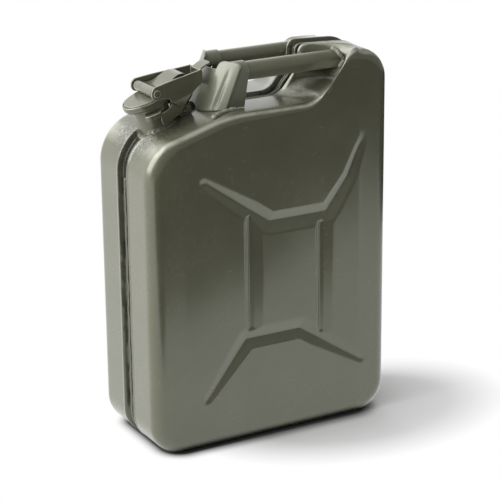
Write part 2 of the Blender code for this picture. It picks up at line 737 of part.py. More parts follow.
def lever_web():
    """Rounded wall that joins the two plates at the lever's free end."""
    reach = lever_spread(CROSS_ROD.x + LEVER_LENGTH) - 0.2
    middle = CROSS_ROD.x + LEVER_LENGTH - 0.6
    low, high = CROSS_ROD.z + 2.1, CROSS_ROD.z + 12.4
    arc = [math.radians(-90 + 22.5 * k) for k in range(9)]
    outer = [(middle + LEVER_BEND_RADIUS * math.cos(a), reach * math.sin(a), low) for a in arc]
    inner = [
        (middle + (LEVER_BEND_RADIUS - LEVER_SHEET) * math.cos(a), (reach - LEVER_SHEET) * math.sin(a), low)
        for a in reversed(arc)
    ]
    return prism("lever_web", outer + inner, (-1.4, 0.0, high - low), smooth=False)


def lever_tab():
    """Thumb tab that rises from the web's upper edge."""
    x, z = CROSS_ROD.x + LEVER_LENGTH + 0.2, CROSS_ROD.z + 10.6
    rise = [(x, z), (x + 2.0, z + 1.8), (x + 4.5, z + 3.2), (x + TAB_LENGTH, z + 4.8)]
    over = [(a - 0.5, b + LEVER_SHEET) for a, b in rise]
    outline = [(a, -TAB_HALF_WIDTH, b) for a, b in rise + over[::-1]]
    return prism("lever_tab", outline, (0.0, 2 * TAB_HALF_WIDTH, 0.0), smooth=False)


def lever():
    """U-shaped locking lever: two tapering side plates, the web that joins them and the thumb tab."""
    body = lever_plate("lever", -1, origin=CROSS_ROD)
    boolean(body, lever_plate("lever_far_plate", 1), "UNION")
    boolean(body, lever_web(), "UNION")
    boolean(body, lever_tab(), "UNION")
    hole, reach = CROSS_ROD_RADIUS + GAP, 2 * LEVER_HALF_WIDTH
    drill = [(0.0, -reach), (hole, -reach), (hole, reach), (0.0, reach)]
    boolean(body, turned("rod_hole", drill, Matrix.Translation(CROSS_ROD) @ ALONG_Y, steps=24), "DIFFERENCE")


def handle_section(side):
    """Outer and inner lines of the open channel, from one lower rim over the top to the other."""
    foot = HANDLE_CENTRE - HANDLE_SIDE
    radius, wall, rim = HANDLE_HALF_WIDTH, HANDLE_WALL, HANDLE_RIM
    low = foot - rim * 0.7
    outer = [(rim - radius, foot - rim), (0.3 - radius, low), (-radius, foot)]
    inner = [(2 * rim - radius - 0.3, low), (2 * rim - radius, foot), (wall - radius, foot + 1.3)]
    for k in range(13):
        a = math.pi - math.pi * k / 12
        outer.append((radius * math.cos(a), HANDLE_CENTRE + radius * math.sin(a)))
        inner.append(((radius - wall) * math.cos(a), HANDLE_CENTRE + (radius - wall) * math.sin(a)))
    outer += [(-y, z) for y, z in reversed(outer[:3])]
    inner += [(-y, z) for y, z in reversed(inner[:3])]
    return [[(side * HANDLE_Y + y, z) for y, z in line] for line in (outer, inner)]


def handles(tree):
    """Two rolled channels from the bracket's sleeves to the hump."""
    start = RECESS_LEFT + BRACKET_SLEEVE_LENGTH - HANDLE_LAP
    for name, side in (("front_handle", -1), ("rear_handle", 1)):
        rows = [[(start, y, z) for y, z in line] for line in handle_section(side)]
        thickened(name, rows, lambda p: Vector((wall_reach(tree, p.y, p.z)[0] - 2 * GAP, p.y, p.z)))


def handle_welds(tree):
    """Beads round the outer side of each handle where it meets the hump."""
    out = HANDLE_HALF_WIDTH + WELD_RADIUS + GAP
    for name, side in (("front_handle_weld", -1), ("rear_handle_weld", 1)):
        path = []
        for k in range(15):
            a = math.radians(-38 + 155 * k / 14)
            across = math.cos(a) if a > 0 else 1.0
            y, z = side * (HANDLE_Y + out * across), HANDLE_CENTRE + out * math.sin(a)
            x, normal = wall_reach(tree, y, z)
            lean = max(0.35, -normal.x)
            path.append((x - (WELD_RADIUS + GAP) / lean, y, min(z, HANDLE_TOP + WELD_RADIUS + GAP)))
        sizes = [WELD_RADIUS * share for share in [0.55] + [1.0] * (len(path) - 2) + [0.55]]
        bead(name, path, sizes)


def bracket_reach():
    """Half width of the handle bracket: its sleeves fit round the handles."""
    return HANDLE_Y + HANDLE_HALF_WIDTH + GAP + BRACKET_SHEET + BRACKET_LIP


def bracket_x(y, z):
    """Bowed, leaning plate of the handle bracket."""
    middle = RECESS_LEFT - BRACKET_INSET + BRACKET_LEAN * (z - RECESS_HEIGHT + BRACKET_SINK)
    corner_z = RECESS_HEIGHT - BRACKET_SINK - 2.0
    corner = RECESS_LEFT - BRACKET_INSET + BRACKET_CORNER_SETBACK + BRACKET_CORNER_LEAN * (z - corner_z)
    return middle + (corner - middle) * (y / bracket_reach()) ** 2


def bracket_heights(tree, y, thick):
    """Lower and upper edge of the bracket's plate: an arch over the seam, a saddle between the handles."""
    foot = bracket_x(y, RECESS_HEIGHT - BRACKET_SINK)
    low = max(surface_height(tree, foot, y), surface_height(tree, foot + thick, y)) + GAP
    if abs(y) < BRACKET_ARCH_HALF_WIDTH:
        low += BRACKET_ARCH * math.sqrt(1.0 - (y / BRACKET_ARCH_HALF_WIDTH) ** 2)
    sleeve = HANDLE_HALF_WIDTH + GAP + BRACKET_SHEET
    top = HANDLE_CENTRE + 1.2
    if abs(y) < HANDLE_Y - sleeve:
        saddle = HANDLE_TOP - BRACKET_SADDLE_DROP
        return low, saddle + (top - saddle) * (abs(y) / (HANDLE_Y - sleeve)) ** 2
    over = sleeve + BRACKET_LIP
    away = min(over, abs(abs(y) - HANDLE_Y))
    return low, max(top, HANDLE_CENTRE + math.sqrt(over**2 - away**2))


def bracket_plate(tree, thick):
    """Bowed front of the bracket."""
    reach = bracket_reach()
    stations = [0.0, 3.0, 6.0, 8.0, 10.0, 12.5, 15.5, 19.0, 22.5, 26.0, 29.5, 31.5, reach]
    rows = []
    for y in [-y for y in reversed(stations[1:])] + stations:
        low, high = bracket_heights(tree, y, thick)
        heights = [low + (high - low) * k / 6 for k in range(7)]
        rows.append([(bracket_x(y, z), y, z) for z in heights])
    return thickened("handle_bracket", rows, lambda p: p + Vector((thick, 0.0, 0.0)))


def bracket_wing(tree, side, thick):
    """Side flange that stands on the can, bent over into the sleeve round the handle's end."""
    inside = HANDLE_HALF_WIDTH + GAP
    rows = []
    for radius in (inside + BRACKET_SHEET, inside):
        arc = [math.pi * k / 12 for k in range(13)]
        section = [(radius, None), (radius, HANDLE_CENTRE - 6.0)]
        section += [(radius * math.cos(a), HANDLE_CENTRE + radius * math.sin(a)) for a in arc]
        section.append((-radius, HANDLE_CENTRE - 2.0))
        row = []
        for across, z in section:
            y = side * (HANDLE_Y + across)
            if z is None:
                z = surface_height(tree, bracket_x(y, RECESS_HEIGHT - BRACKET_SINK) + 8.0, y) + GAP
            row.append((bracket_x(y, z) + thick / 2, y, z))
        rows.append(row)

    def far_edge(p):
        rise = min(1.0, max(0.0, (p.z - RECESS_HEIGHT) / (HANDLE_CENTRE - RECESS_HEIGHT)))
        length = BRACKET_FLANGE_LENGTH + (BRACKET_SLEEVE_LENGTH - BRACKET_FLANGE_LENGTH) * rise
        foot = p.z < HANDLE_CENTRE - 7.0
        z = surface_height(tree, RECESS_LEFT + length, p.y) + GAP if foot else p.z
        return Vector((RECESS_LEFT + length, p.y, z))

    return thickened("bracket_wing" + str(side), rows, far_edge)


def handle_bracket(tree):
    """Pressed bracket: bowed plate, side flanges and the two sleeves over the handle ends."""
    thick = BRACKET_SHEET / math.cos(math.atan(BRACKET_LEAN))
    plate = bracket_plate(tree, thick)
    for side in (-1, 1):
        boolean(plate, bracket_wing(tree, side, thick), "UNION")


def bracket_welds(tree):
    """Weld beads along the feet of the bracket's flanges."""
    for name, side in (("front_bracket_weld", -1), ("rear_bracket_weld", 1)):
        y = side * (bracket_reach() + GAP + WELD_RADIUS)
        path = []
        for along in (0.0, 3.0, 7.0, 11.0, 14.0):
            x = RECESS_LEFT + along
            path.append((x, y, surface_height(tree, x, y) + WELD_RADIUS + GAP))
        bead(name, path, [WELD_RADIUS * share for share in (0.5, 0.94, 1.0, 0.88, 0.5)])


def build():
    clear_scene()
    tree = shells()
    seam_weld()
    neck_tube()
    neck_weld(tree)
    catches()
    vent_tube()
    cap()
    cap_gasket()
    cap_rivet()
    hinge_bracket()
    hinge_pin()
    closure_arm()
    lever_pin()
    lever()
    handles(tree)
    handle_welds(tree)
    handle_bracket(tree)
    bracket_welds(tree)


build()
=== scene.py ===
"""Olive drab fuel can: two drawn half shells welded in a sunk seam, a leaning spout under a cam-lever cap,
and two rolled handles on a pressed bracket. Shapes are worked out in millimetres; the front face looks to
-Y, the spout is at -X and the floor is Z = 0.
"""

import bpy
import numpy as np
from mathutils import Matrix


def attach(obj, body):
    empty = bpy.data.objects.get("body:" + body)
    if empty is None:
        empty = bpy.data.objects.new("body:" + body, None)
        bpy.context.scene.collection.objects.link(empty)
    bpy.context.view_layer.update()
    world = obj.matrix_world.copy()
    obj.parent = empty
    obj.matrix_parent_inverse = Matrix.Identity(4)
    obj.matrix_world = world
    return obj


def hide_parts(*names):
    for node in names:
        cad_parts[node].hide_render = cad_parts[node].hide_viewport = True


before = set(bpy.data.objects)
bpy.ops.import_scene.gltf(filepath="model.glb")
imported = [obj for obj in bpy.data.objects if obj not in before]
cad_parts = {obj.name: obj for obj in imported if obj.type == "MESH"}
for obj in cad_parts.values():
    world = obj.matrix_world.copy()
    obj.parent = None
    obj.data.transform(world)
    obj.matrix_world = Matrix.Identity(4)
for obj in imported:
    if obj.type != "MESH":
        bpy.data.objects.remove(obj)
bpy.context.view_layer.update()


# Half shells
# Each half is one deep drawing of 1.2 mm steel sheet: a flat face with pressed channels, a rolled edge, a
# side wall, and a step down to the sunk seam where the halves are welded edge to edge. Sprayed olive drab.

SHEET = 1.2
HALF_DEPTH = 50.0
ROLL_START = 39.0
LATE_ROLL = 43.0
SEAM_CORNERS = np.array(
    [
        (-112.0, 0.0, 27.0),
        (112.0, 0.0, 27.0),
        (112.0, 321.5, 25.0),
        (48.5, 325.0, 7.0),
        (45.5, 304.0, 8.0),
        (29.0, 284.5, 7.0),
        (-38.0, 284.5, 14.0),
        (-112.0, 263.0, 27.0),
    ]
)
FACE_CORNERS = np.array(
    [
        (-101.0, 11.0, 16.0),
        (101.0, 11.0, 16.0),
        (101.0, 312.5, 15.0),
        (72.5, 317.0, 6.0),
        (58.5, 302.5, 7.0),
        (39.5, 279.5, 9.0),
        (-38.0, 277.0, 15.0),
        (-101.0, 257.0, 20.0),
    ]
)
CORNER_STEPS = 13
RUN_STEPS = (88, 118, 12, 8, 6, 26, 26, 94)
FACE_RINGS = 114
RING_SHARES = (0.008, 0.2, 0.5, 0.86, 1.0)
RING_STEPS = np.cumsum((0, 12, 65, 26, 10)) / 113.0
RING_POWER = 7.0
RING_RIGHT_TOP = (88.5, 130.0)
RING_LEFT_LOW = (113.5, 129.75)
RIM_SHARE = 0.86
INNER_STRIDE = 12
STRIP_START = 83.0
STRIP_WIDTH = 18.0
STRIP_SLOPE = 0.08
GROOVE = 8.5
GROOVE_WALL = 1.7
GROOVE_DEPTH = 4.6
LIP_FLARE = 0.45
PATTERN_CENTRE = np.array((12.5, 140.75))
CHANNEL_DEPTH = 3.2
CHANNEL_TIP = 1.5
CHANNEL_TAPER = 55.0
OUTER_SLOPE = 0.4
INNER_SLOPE = 0.34
VALLEY_ROUND = 0.5
WALL_EASE = 0.7
CHANNELS = (
    np.array([(-62.5, 232.0), (-2.5, 190.0), (52.0, 190.0), (72.0, 217.0), (83.0, 243.0)]),
    np.array([(86.0, 51.5), (27.0, 90.5), (-25.0, 90.5), (-63.0, 44.8)]),
    np.array([(-21.3, 100.5), (-21.3, 197.0)]),
    np.array([(46.2, 84.5), (46.2, 181.0)]),
)
UPRIGHT_WEST = ((0.0, 0.6, 2.4, 4.0, 5.8), (2.6, 2.5, 1.35, 1.3, 0.0))
UPRIGHT_EAST = ((0.0, 0.6, 2.6, 11.0), (2.6, 2.4, 1.3, 0.0))
NOSE_HALF = 11.0
NOSE_POWER = np.array((4.5, 4.0, 1.6))
NOSE_HOLLOW = np.array((0.4, 1.1, 0.4))
SHOULDER_SLOPE = 21.5 / 74.0
SPOUT_FOOT = np.array((-78.5, 0.0, 284.5 + (-78.5 + 38.0) * SHOULDER_SLOPE - 5.13))
SPOUT_LEAN = np.radians(20.0)
SPOUT_UP = np.array((-np.sin(SPOUT_LEAN), 0.0, np.cos(SPOUT_LEAN)))
SPOUT_ACROSS = np.array((np.cos(SPOUT_LEAN), 0.0, np.sin(SPOUT_LEAN)))
SPOUT_HOLE = 15.3
HOLE_LOWEST = 240.0
DRAB = (0.078, 0.078, 0.047)
GRAIN_TONE = (0.13, 0.125, 0.09, 1.0)
DUST_TONE = (0.22, 0.21, 0.17, 1.0)
# Paler edges, partly rubbed paint and partly a painted highlight; then a painted highlight on upward slopes.
RUBBED_AND_HIGHLIGHT_TONE = (0.27, 0.26, 0.21, 1.0)
PAINTED_HIGHLIGHT_TONE = (0.36, 0.36, 0.3, 1.0)
BURNT_TONE = (0.022, 0.02, 0.016, 1.0)
# Painted shade in the seam's groove: its colour, and its reach from the middle plane in metres.
GROOVE_SHADE_TONE = (0.016, 0.015, 0.011, 1.0)
GROOVE_SHADE_REACH = 0.0088


class Signal:
    """A shader socket in a sum: operators add Math nodes, math() adds one from all its operands, and node()
    adds any other node and gives its output."""

    def __init__(self, tree, socket=None):
        self.tree = tree
        self.socket = socket

    def node(self, kind, inputs, output=0, **settings):
        made = self.tree.nodes.new(kind)
        for setting, value in settings.items():
            setattr(made, setting, value)
        for key, value in inputs.items():
            feed(made, key, value)
        return Signal(self.tree, made.outputs[output])

    def math(self, operation, *values):
        return self.node("ShaderNodeMath", dict(enumerate(values)), operation=operation)

    def __add__(self, other):
        return self.math("ADD", self, other)

    def __mul__(self, other):
        return self.math("MULTIPLY", self, other)

    def __sub__(self, other):
        return self.math("SUBTRACT", self, other)

    def __rsub__(self, other):
        return self.math("SUBTRACT", other, self)

    __radd__ = __add__
    __rmul__ = __mul__

    def ramp(self, low, high):
        """0 up to low, 1 from high on, and a straight rise between."""
        made = self.node("ShaderNodeValToRGB", {"Fac": self})
        black, white = made.socket.node.color_ramp.elements
        black.position = low
        white.position = high
        return made

    def blend(self, first, second):
        """Colour between two colours, this signal being the share of the second."""
        inputs = {0: self, 6: first, 7: second}
        return self.node("ShaderNodeMix", inputs, output=2, data_type="RGBA", blend_type="MIX")


def noise(place, scale, detail=3.0, roughness=0.55):
    """Soft random pattern from 0 to 1; scale is its lumps per metre."""
    inputs = {"Vector": place, "Scale": scale, "Detail": detail, "Roughness": roughness}
    return place.node("ShaderNodeTexNoise", inputs)


def magnitude(signal):
    """The number without its sign."""
    return signal.math("ABSOLUTE", signal)


def coordinate(vector, axis):
    """X, Y or Z of a vector signal, for axis 0, 1 or 2."""
    return vector.node("ShaderNodeSeparateXYZ", {0: vector}, output=axis)


def new_material(name):
    """Material, its Principled shader's node, and the Object coordinates as a signal."""
    made = bpy.data.materials.new(name)
    made.use_nodes = True
    shader = made.node_tree.nodes["Principled BSDF"]
    place = Signal(made.node_tree).node("ShaderNodeTexCoord", {}, output="Object")
    return made, shader, place


def feed(node, key, value):
    """Gives a node's input a signal or a plain value."""
    if isinstance(value, Signal):
        value.tree.links.new(value.socket, node.inputs[key])
    else:
        node.inputs[key].default_value = value


def drab_paint(name, colour=DRAB, roughness=0.22, chips=0.5, dust=0.5, grime=None):
    """Sprayed semi-gloss drab under a clear coat: slow changes of tone, an orange-peel bump, pale dust on
    what faces up, and paler edges where the surface turns outwards sharply, broken up by a fine pattern:
    partly rubbed paint and partly a painted highlight. With the last argument, surfaces that slope upwards
    get a painted highlight, the sheet is burnt dark in specks round the spout's foot, and the seam's groove
    is painted dark, a painted shade, up to that distance, in metres, from the middle plane."""
    made, shader, place = new_material(name)
    tone = noise(place, 16.0, 4.0)
    grain = noise(place, 900.0, 2.0)
    scuff = noise(place, 140.0, 5.0, 0.7)
    worn_and_highlit = place.node("ShaderNodeAttribute", {}, output="Fac", attribute_name="convex_wear_and_highlight")
    # Paler edges where the surface turns outwards sharply: partly rubbed paint, partly a painted highlight.
    rubbed_and_highlit = (worn_and_highlit * 0.9 + scuff * 0.6 - 0.55).ramp(0.12, 0.5) * chips
    up = coordinate(place.node("ShaderNodeNewGeometry", {}, output="Normal"), 2)
    dusty = up.ramp(0.25, 1.0) * noise(place, 45.0, 6.0, 0.65).ramp(0.3, 0.8) * dust
    dark = tuple(c * 0.86 for c in colour) + (1.0,)
    light = tuple(c * 1.14 for c in colour) + (1.0,)
    base = tone.ramp(0.3, 0.7).blend(dark, light)
    base = (grain.ramp(0.35, 0.75) * 0.12).blend(base, GRAIN_TONE)
    base = (dusty * 0.5).blend(base, DUST_TONE)
    base = rubbed_and_highlit.blend(base, RUBBED_AND_HIGHLIGHT_TONE)
    if grime:
        # Painted highlight on surfaces that slope upwards, broken up by a pattern.
        edge = up.ramp(0.5, 0.7) * (1 - up.ramp(0.8, 0.93)) * noise(place, 60.0, 5.0, 0.7).ramp(0.2, 0.5)
        base = (edge * 0.8).blend(base, PAINTED_HIGHLIGHT_TONE)
        foot = tuple(SPOUT_FOOT * 0.001)
        reach = place.node("ShaderNodeVectorMath", {0: place, 1: foot}, output="Value", operation="DISTANCE")
        burnt = (1 - reach.ramp(0.03, 0.046)) * noise(place, 420.0, 6.0, 0.75).ramp(0.4, 0.54)
        base = (burnt * 0.85).blend(base, BURNT_TONE)
        # Painted shade: the seam's groove is darkened near the middle plane.
        depth = magnitude(coordinate(place, 1))
        base = (depth * (1.0 / grime)).ramp(0.75, 1.0).blend(GROOVE_SHADE_TONE, base)
    feed(shader, "Base Color", base)
    feed(shader, "Roughness", roughness + (tone - 0.5) * 0.1 + scuff * 0.08 + dusty * 0.16 - rubbed_and_highlit * 0.05)
    lumps = noise(place, 330.0, 2.0) * 0.5 + grain * 0.2 + noise(place, 60.0, 2.0) * 0.8
    bump = place.node("ShaderNodeBump", {"Height": lumps, "Strength": 0.3, "Distance": 0.0002})
    feed(shader, "Normal", bump)
    feed(shader, "Specular IOR Level", 1.0)
    feed(shader, "Specular Tint", (0.95, 1.0, 0.8, 1.0))
    feed(shader, "Coat Weight", 0.8)
    feed(shader, "Coat Roughness", 0.16)
    return made


def bends(corners, steps=CORNER_STEPS):
    """Points of every rounded corner, [corner, step, 2]: the cubic curve from one cut before the corner to
    one cut after it, with its two handles at 0.5523 of the way to the corner point."""
    here = corners[:, :2]
    cut = corners[:, 2:]
    back = np.roll(here, 1, 0) - here
    ahead = np.roll(here, -1, 0) - here
    start = here + back / np.linalg.norm(back, axis=1, keepdims=True) * cut
    end = here + ahead / np.linalg.norm(ahead, axis=1, keepdims=True) * cut
    lead = start + (here - start) * 0.5523
    trail = end + (here - end) * 0.5523
    t = np.linspace(0.0, 1.0, steps + 1)[None, :, None]
    start, lead, trail, end = (p[:, None, :] for p in (start, lead, trail, end))
    return start * (1 - t) ** 3 + 3 * lead * t * (1 - t) ** 2 + 3 * trail * t**2 * (1 - t) + end * t**3


def joined(turns):
    """Closed lines, [..., point, 2], of the corners' points, [..., corner, step, 2], and straight runs."""
    parts = []
    for k, steps in enumerate(RUN_STEPS):
        end = turns[..., k, -1:, :]
        start = turns[..., (k + 1) % len(RUN_STEPS), :1, :]
        t = (np.arange(1, steps) / steps)[:, None]
        parts += [turns[..., k, :, :], end + (start - end) * t]
    return np.concatenate(parts, axis=-2)


def unit(value):
    """The value held between 0 and 1."""
    return np.clip(value, 0.0, 1.0)


def eased(y, start):
    """Share of the way from the side wall to the face at depth y, a quarter round: 1 - sqrt(1 - t^2)."""
    t = unit((y - start) / (HALF_DEPTH - start))
    return 1.0 - np.sqrt(1.0 - t**2)


def side_rows(depths, roofed=True):
    """Lines round the can at each depth from the middle plane, [row, point, 2]. X and Z go from the seam's
    outline to the face's on the eased curve, which starts late for the height of the hump, the recess and the
    shoulder, from corner 3 on. The hump's flank, corners 3 to 5, draws back at once outside a narrow nose
    between the handles, most at its top, as 1 - (1 - t)^p, with a hollow h sin(pi t) on the way. The top of a
    roofed half, corners 2 and 3, slopes straight to the face."""
    seam, face = bends(SEAM_CORNERS), bends(FACE_CORNERS)
    corner = np.arange(len(SEAM_CORNERS))
    flank = (corner >= 3) & (corner <= 5)
    top = (corner == 2) | (corner == 3)
    y = np.asarray(depths)[:, None]
    out = unit((y - NOSE_HALF) / (HALF_DEPTH - NOSE_HALF))
    own = np.clip(corner - 3, 0, 2)
    drawn = 1.0 - (1.0 - out) ** NOSE_POWER[own] + NOSE_HOLLOW[own] * np.sin(np.pi * out)
    along_x = np.where(flank, drawn, eased(y, ROLL_START))
    along_z = np.where(corner >= 3, eased(y, LATE_ROLL), eased(y, ROLL_START))
    along_z = np.where(top & roofed, out, along_z)
    share = np.stack((along_x, along_z), axis=-1)[:, :, None, :]
    return joined(seam + (face - seam) * share)


def inward(line):
    """Unit normals of a closed line that runs counterclockwise, pointing into it."""
    along = np.roll(line, -1, -2) - np.roll(line, 1, -2)
    along /= np.linalg.norm(along, axis=-1, keepdims=True)
    return np.stack((-along[..., 1], along[..., 0]), axis=-1)


def walk(line):
    """Distance walked along a line, [n, d], to each of its points."""
    return np.concatenate(([0.0], np.cumsum(np.linalg.norm(np.diff(line, axis=0), axis=1))))


def channel_depth(x, z):
    """Depth of the pressed channels. Each is a V along its valley line: the depth at the valley, which
    grows from the free tip over the taper's length, less the slope of the wall times the distance from the
    valley. The wall away from the pattern's middle is straight; the one towards it is gentler, with an
    eased shoulder. The two uprights have sections of their own, one for each wall."""
    depth = np.zeros_like(x)
    for line in CHANNELS:
        spans = np.linalg.norm(np.diff(line, axis=0), axis=1)
        for a, b, span, start in zip(line[:-1], line[1:], spans, walk(line)):
            off_x, off_z = x - a[0], z - a[1]
            run_x, run_z = b - a
            t = unit((off_x * run_x + off_z * run_z) / span**2)
            away = np.hypot(off_x - run_x * t, off_z - run_z * t)
            if len(line) == 2:
                section = np.where(x < a[0], np.interp(away, *UPRIGHT_WEST), np.interp(away, *UPRIGHT_EAST))
            else:
                run = start + t * span
                valley = unit(np.minimum(run, spans.sum() - run) / CHANNEL_TAPER)
                valley = CHANNEL_TIP + (CHANNEL_DEPTH - CHANNEL_TIP) * valley
                rounded = np.hypot(away, VALLEY_ROUND)
                flat = valley - OUTER_SLOPE * rounded + OUTER_SLOPE * VALLEY_ROUND
                soft = valley - INNER_SLOPE * rounded + INNER_SLOPE * VALLEY_ROUND
                eased_out = np.maximum(soft + WALL_EASE, 0.0) ** 2 / (4.0 * WALL_EASE)
                soft = np.where(soft < WALL_EASE, eased_out, soft)
                section = np.where(run_x * off_z - run_z * off_x > 0.0, flat, soft)
            depth = np.maximum(depth, section)
    return depth


def rim_dip(x):
    """How far the face falls back near its right edge: a steady slope from the strip's start to the roll."""
    return STRIP_SLOPE * np.clip(x - STRIP_START, 0.0, STRIP_WIDTH)


def quads(rows, columns, loop=False):
    """Index quads of a grid that closes round its columns; loop also joins the last row to the first."""
    r, c = np.meshgrid(np.arange(rows if loop else rows - 1), np.arange(columns), indexing="ij")
    after, right = (r + 1) % rows * columns, (c + 1) % columns
    corners = (r * columns + c, r * columns + right, after + right, after + c)
    return np.stack([corner.ravel() for corner in corners], axis=1)


def skin(grid, loop=False):
    """Points and faces of a grid [row, column, 3] closed round its columns: with its last row joined to the
    first, or with a flat face on each end."""
    rows, columns = grid.shape[:2]
    faces = [quads(rows, columns, loop)]
    if not loop:
        ring = np.arange(columns)
        faces += [ring[None, ::-1], ring[None] + (rows - 1) * columns]
    return grid.reshape(-1, 3), faces


def outwards(points, faces):
    """The faces, all reversed where the volume that they enclose, summed from the origin, is negative."""
    volume = 0.0
    for f in faces:
        fan = points[f]
        first = np.broadcast_to(fan[:, :1], fan[:, 1:-1].shape)
        volume += np.einsum("fki,fki->", first, np.cross(fan[:, 1:-1], fan[:, 2:]))
    return faces if volume > 0.0 else [f[:, ::-1] for f in faces]


def piece(name, body, replaced, paint, *skins):
    """Mesh object of one or more closed skins in millimetres, riding on a body and standing for the CAD
    nodes named. Its attribute for rubbed paint and a painted highlight on edges is high where the surface
    turns
    outwards sharply: the change of normal along each edge over the edge's length, averaged at each point,
    from
    0.1 to 0.6 per millimetre."""
    counts = np.cumsum([0] + [len(points) for points, faces in skins])
    points = np.concatenate([points for points, faces in skins])
    groups = [f + first for (own, faces), first in zip(skins, counts) for f in outwards(own, faces)]
    corners = np.concatenate([f.ravel() for f in groups])
    sizes = np.concatenate([np.full(len(f), f.shape[1]) for f in groups])
    mesh = bpy.data.meshes.new(name)
    mesh.vertices.add(len(points))
    mesh.vertices.foreach_set("co", (points * 0.001).ravel())
    mesh.loops.add(len(corners))
    mesh.loops.foreach_set("vertex_index", corners.astype(np.int32))
    mesh.polygons.add(len(sizes))
    mesh.polygons.foreach_set("loop_start", np.concatenate(([0], np.cumsum(sizes)[:-1])).astype(np.int32))
    mesh.polygons.foreach_set("use_smooth", np.full(len(sizes), True))
    mesh.update(calc_edges=True)
    mesh.validate()
    normals = np.empty(len(points) * 3, np.float32)
    mesh.vertices.foreach_get("normal", normals)
    normals = normals.reshape(-1, 3)
    ends = np.empty(len(mesh.edges) * 2, np.int32)
    mesh.edges.foreach_get("vertices", ends)
    a, b = ends.reshape(-1, 2).T
    step = points[b] - points[a]
    turn = ((normals[b] - normals[a]) * step).sum(1) / np.maximum((step * step).sum(1), 1e-6)
    total = np.bincount(a, turn, len(points)) + np.bincount(b, turn, len(points))
    share = total / np.maximum(np.bincount(ends, minlength=len(points)), 1)
    convex_wear_and_highlight = unit((share - 0.1) / 0.5)
    layer = mesh.attributes.new("convex_wear_and_highlight", "FLOAT", "POINT")
    layer.data.foreach_set("value", convex_wear_and_highlight.astype(np.float32))
    mesh.materials.append(paint)
    made = bpy.data.objects.new(name, mesh)
    bpy.context.scene.collection.objects.link(made)
    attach(made, body)
    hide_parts(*replaced)


def painted(node, body, *skins, **look):
    """A piece in drab paint for one CAD node; look holds the paint's own settings."""
    paint = drab_paint(node + "_paint", **look)
    piece(node + "_look", body, [node], paint, *skins)


def xyz(x, y, z):
    """Points from their coordinates, each a number or an array."""
    return np.stack(np.broadcast_arrays(x, y, z), axis=-1)


def full_turn(steps):
    """Angles once round, in even steps."""
    return np.linspace(0.0, 2.0 * np.pi, steps, endpoint=False)


def bell(value, centre, width):
    """Rounded peak of height 1: exp(-((value - centre) / width)^2)."""
    return np.exp(-(((value - centre) / width) ** 2))


def face_surface():
    """The face, in rings from the pattern's centre to its rim. A ring is a rounded rectangle about the
    centre that turns into the face's own outline past the rim's share. The channels and the strip are
    pressed in, and two slow waves, which die out towards the rim, leave the sheet uneven."""
    rim = joined(bends(FACE_CORNERS))
    closed = np.concatenate((rim, rim[:1]))
    walked = walk(closed)
    even = np.arange(len(rim)) * walked[-1] / len(rim)
    even = (even + (walked[:-1] - even).mean()) % walked[-1]
    spoke = np.stack([np.interp(even, walked, closed[:, k]) for k in (0, 1)], axis=1) - PATTERN_CENTRE
    wide, tall = (np.abs(spoke) / np.where(spoke > 0.0, RING_RIGHT_TOP, RING_LEFT_LOW)).T
    spoke = spoke / ((wide**RING_POWER + tall**RING_POWER) ** (1.0 / RING_POWER))[:, None]
    shrink = np.interp(np.linspace(0.0, 1.0, FACE_RINGS), RING_STEPS, RING_SHARES)[:, None, None]
    t = unit((shrink - RIM_SHARE) / (1.0 - RIM_SHARE))
    outline = spoke + (rim - PATTERN_CENTRE - spoke) * t * t * (3.0 - 2.0 * t)
    x, z = np.moveaxis(PATTERN_CENTRE + outline * shrink, -1, 0)
    soft = 0.2 * np.sin(x / 31.0 + 0.8) * np.sin(z / 43.0 + 0.5) + 0.12 * np.sin(x / 17.0 + z / 23.0)
    held = unit((1.0 - shrink[..., 0]) * 6.0)
    y = channel_depth(x, z) - HALF_DEPTH + (soft + 0.32) * held + rim_dip(x)
    return xyz(x, y, z)


def shell_surface(roofed):
    """Outer surface of one half, laid out as the front one, [row, column, 3]: the face's rings, then rows
    round the rolled edge, along the side wall and down the seam step, whose lip is wavy and flares."""
    roll = ROLL_START + (HALF_DEPTH - ROLL_START) * np.sin(np.radians(np.linspace(84.0, 0.0, 13)))
    wall = np.array([36.0, 33.0, 30.5, 28.0, 25.5, 23.0, 20.5, 18.5, 16.5, 15.0, 13.5, 12.2, 11.0, 9.8])
    step = np.array([9.1, 8.6, 8.2, 7.8, 7.5, 7.2, 6.9, 6.5, 5.8, 4.6, 3.2, 1.6, 0.15])
    depths = np.concatenate((roll, wall, step))
    lines = side_rows(depths, roofed)
    t = unit((GROOVE - depths) / GROOVE_WALL)
    inset = GROOVE_DEPTH * (t * t * (3.0 - 2.0 * t)) - LIP_FLARE * bell(depths, 8.9, 0.9)
    lines = lines + inward(side_rows([0.0]))[0] * inset[:, None, None]
    lines[..., 1] = np.maximum(lines[..., 1], 0.0)
    around = full_turn(lines.shape[1])
    wobble = 0.3 * np.sin(17 * around) + 0.22 * np.sin(41 * around + 1.0) + 0.12 * np.sin(97 * around)
    past_roll = unit((depths - LATE_ROLL) / (HALF_DEPTH - LATE_ROLL))
    depth = depths[:, None] + bell(depths, 7.8, 1.4)[:, None] * wobble
    y = rim_dip(lines[..., 0]) * past_roll[:, None] - depth
    return np.concatenate((face_surface(), xyz(lines[..., 0], y, lines[..., 1])))


def from_axis(points):
    """Each point's foot on the spout's axis, and the way from there to the point."""
    local = points - SPOUT_FOOT
    along = (local @ SPOUT_UP)[..., None] * SPOUT_UP
    return SPOUT_FOOT + along, local - along


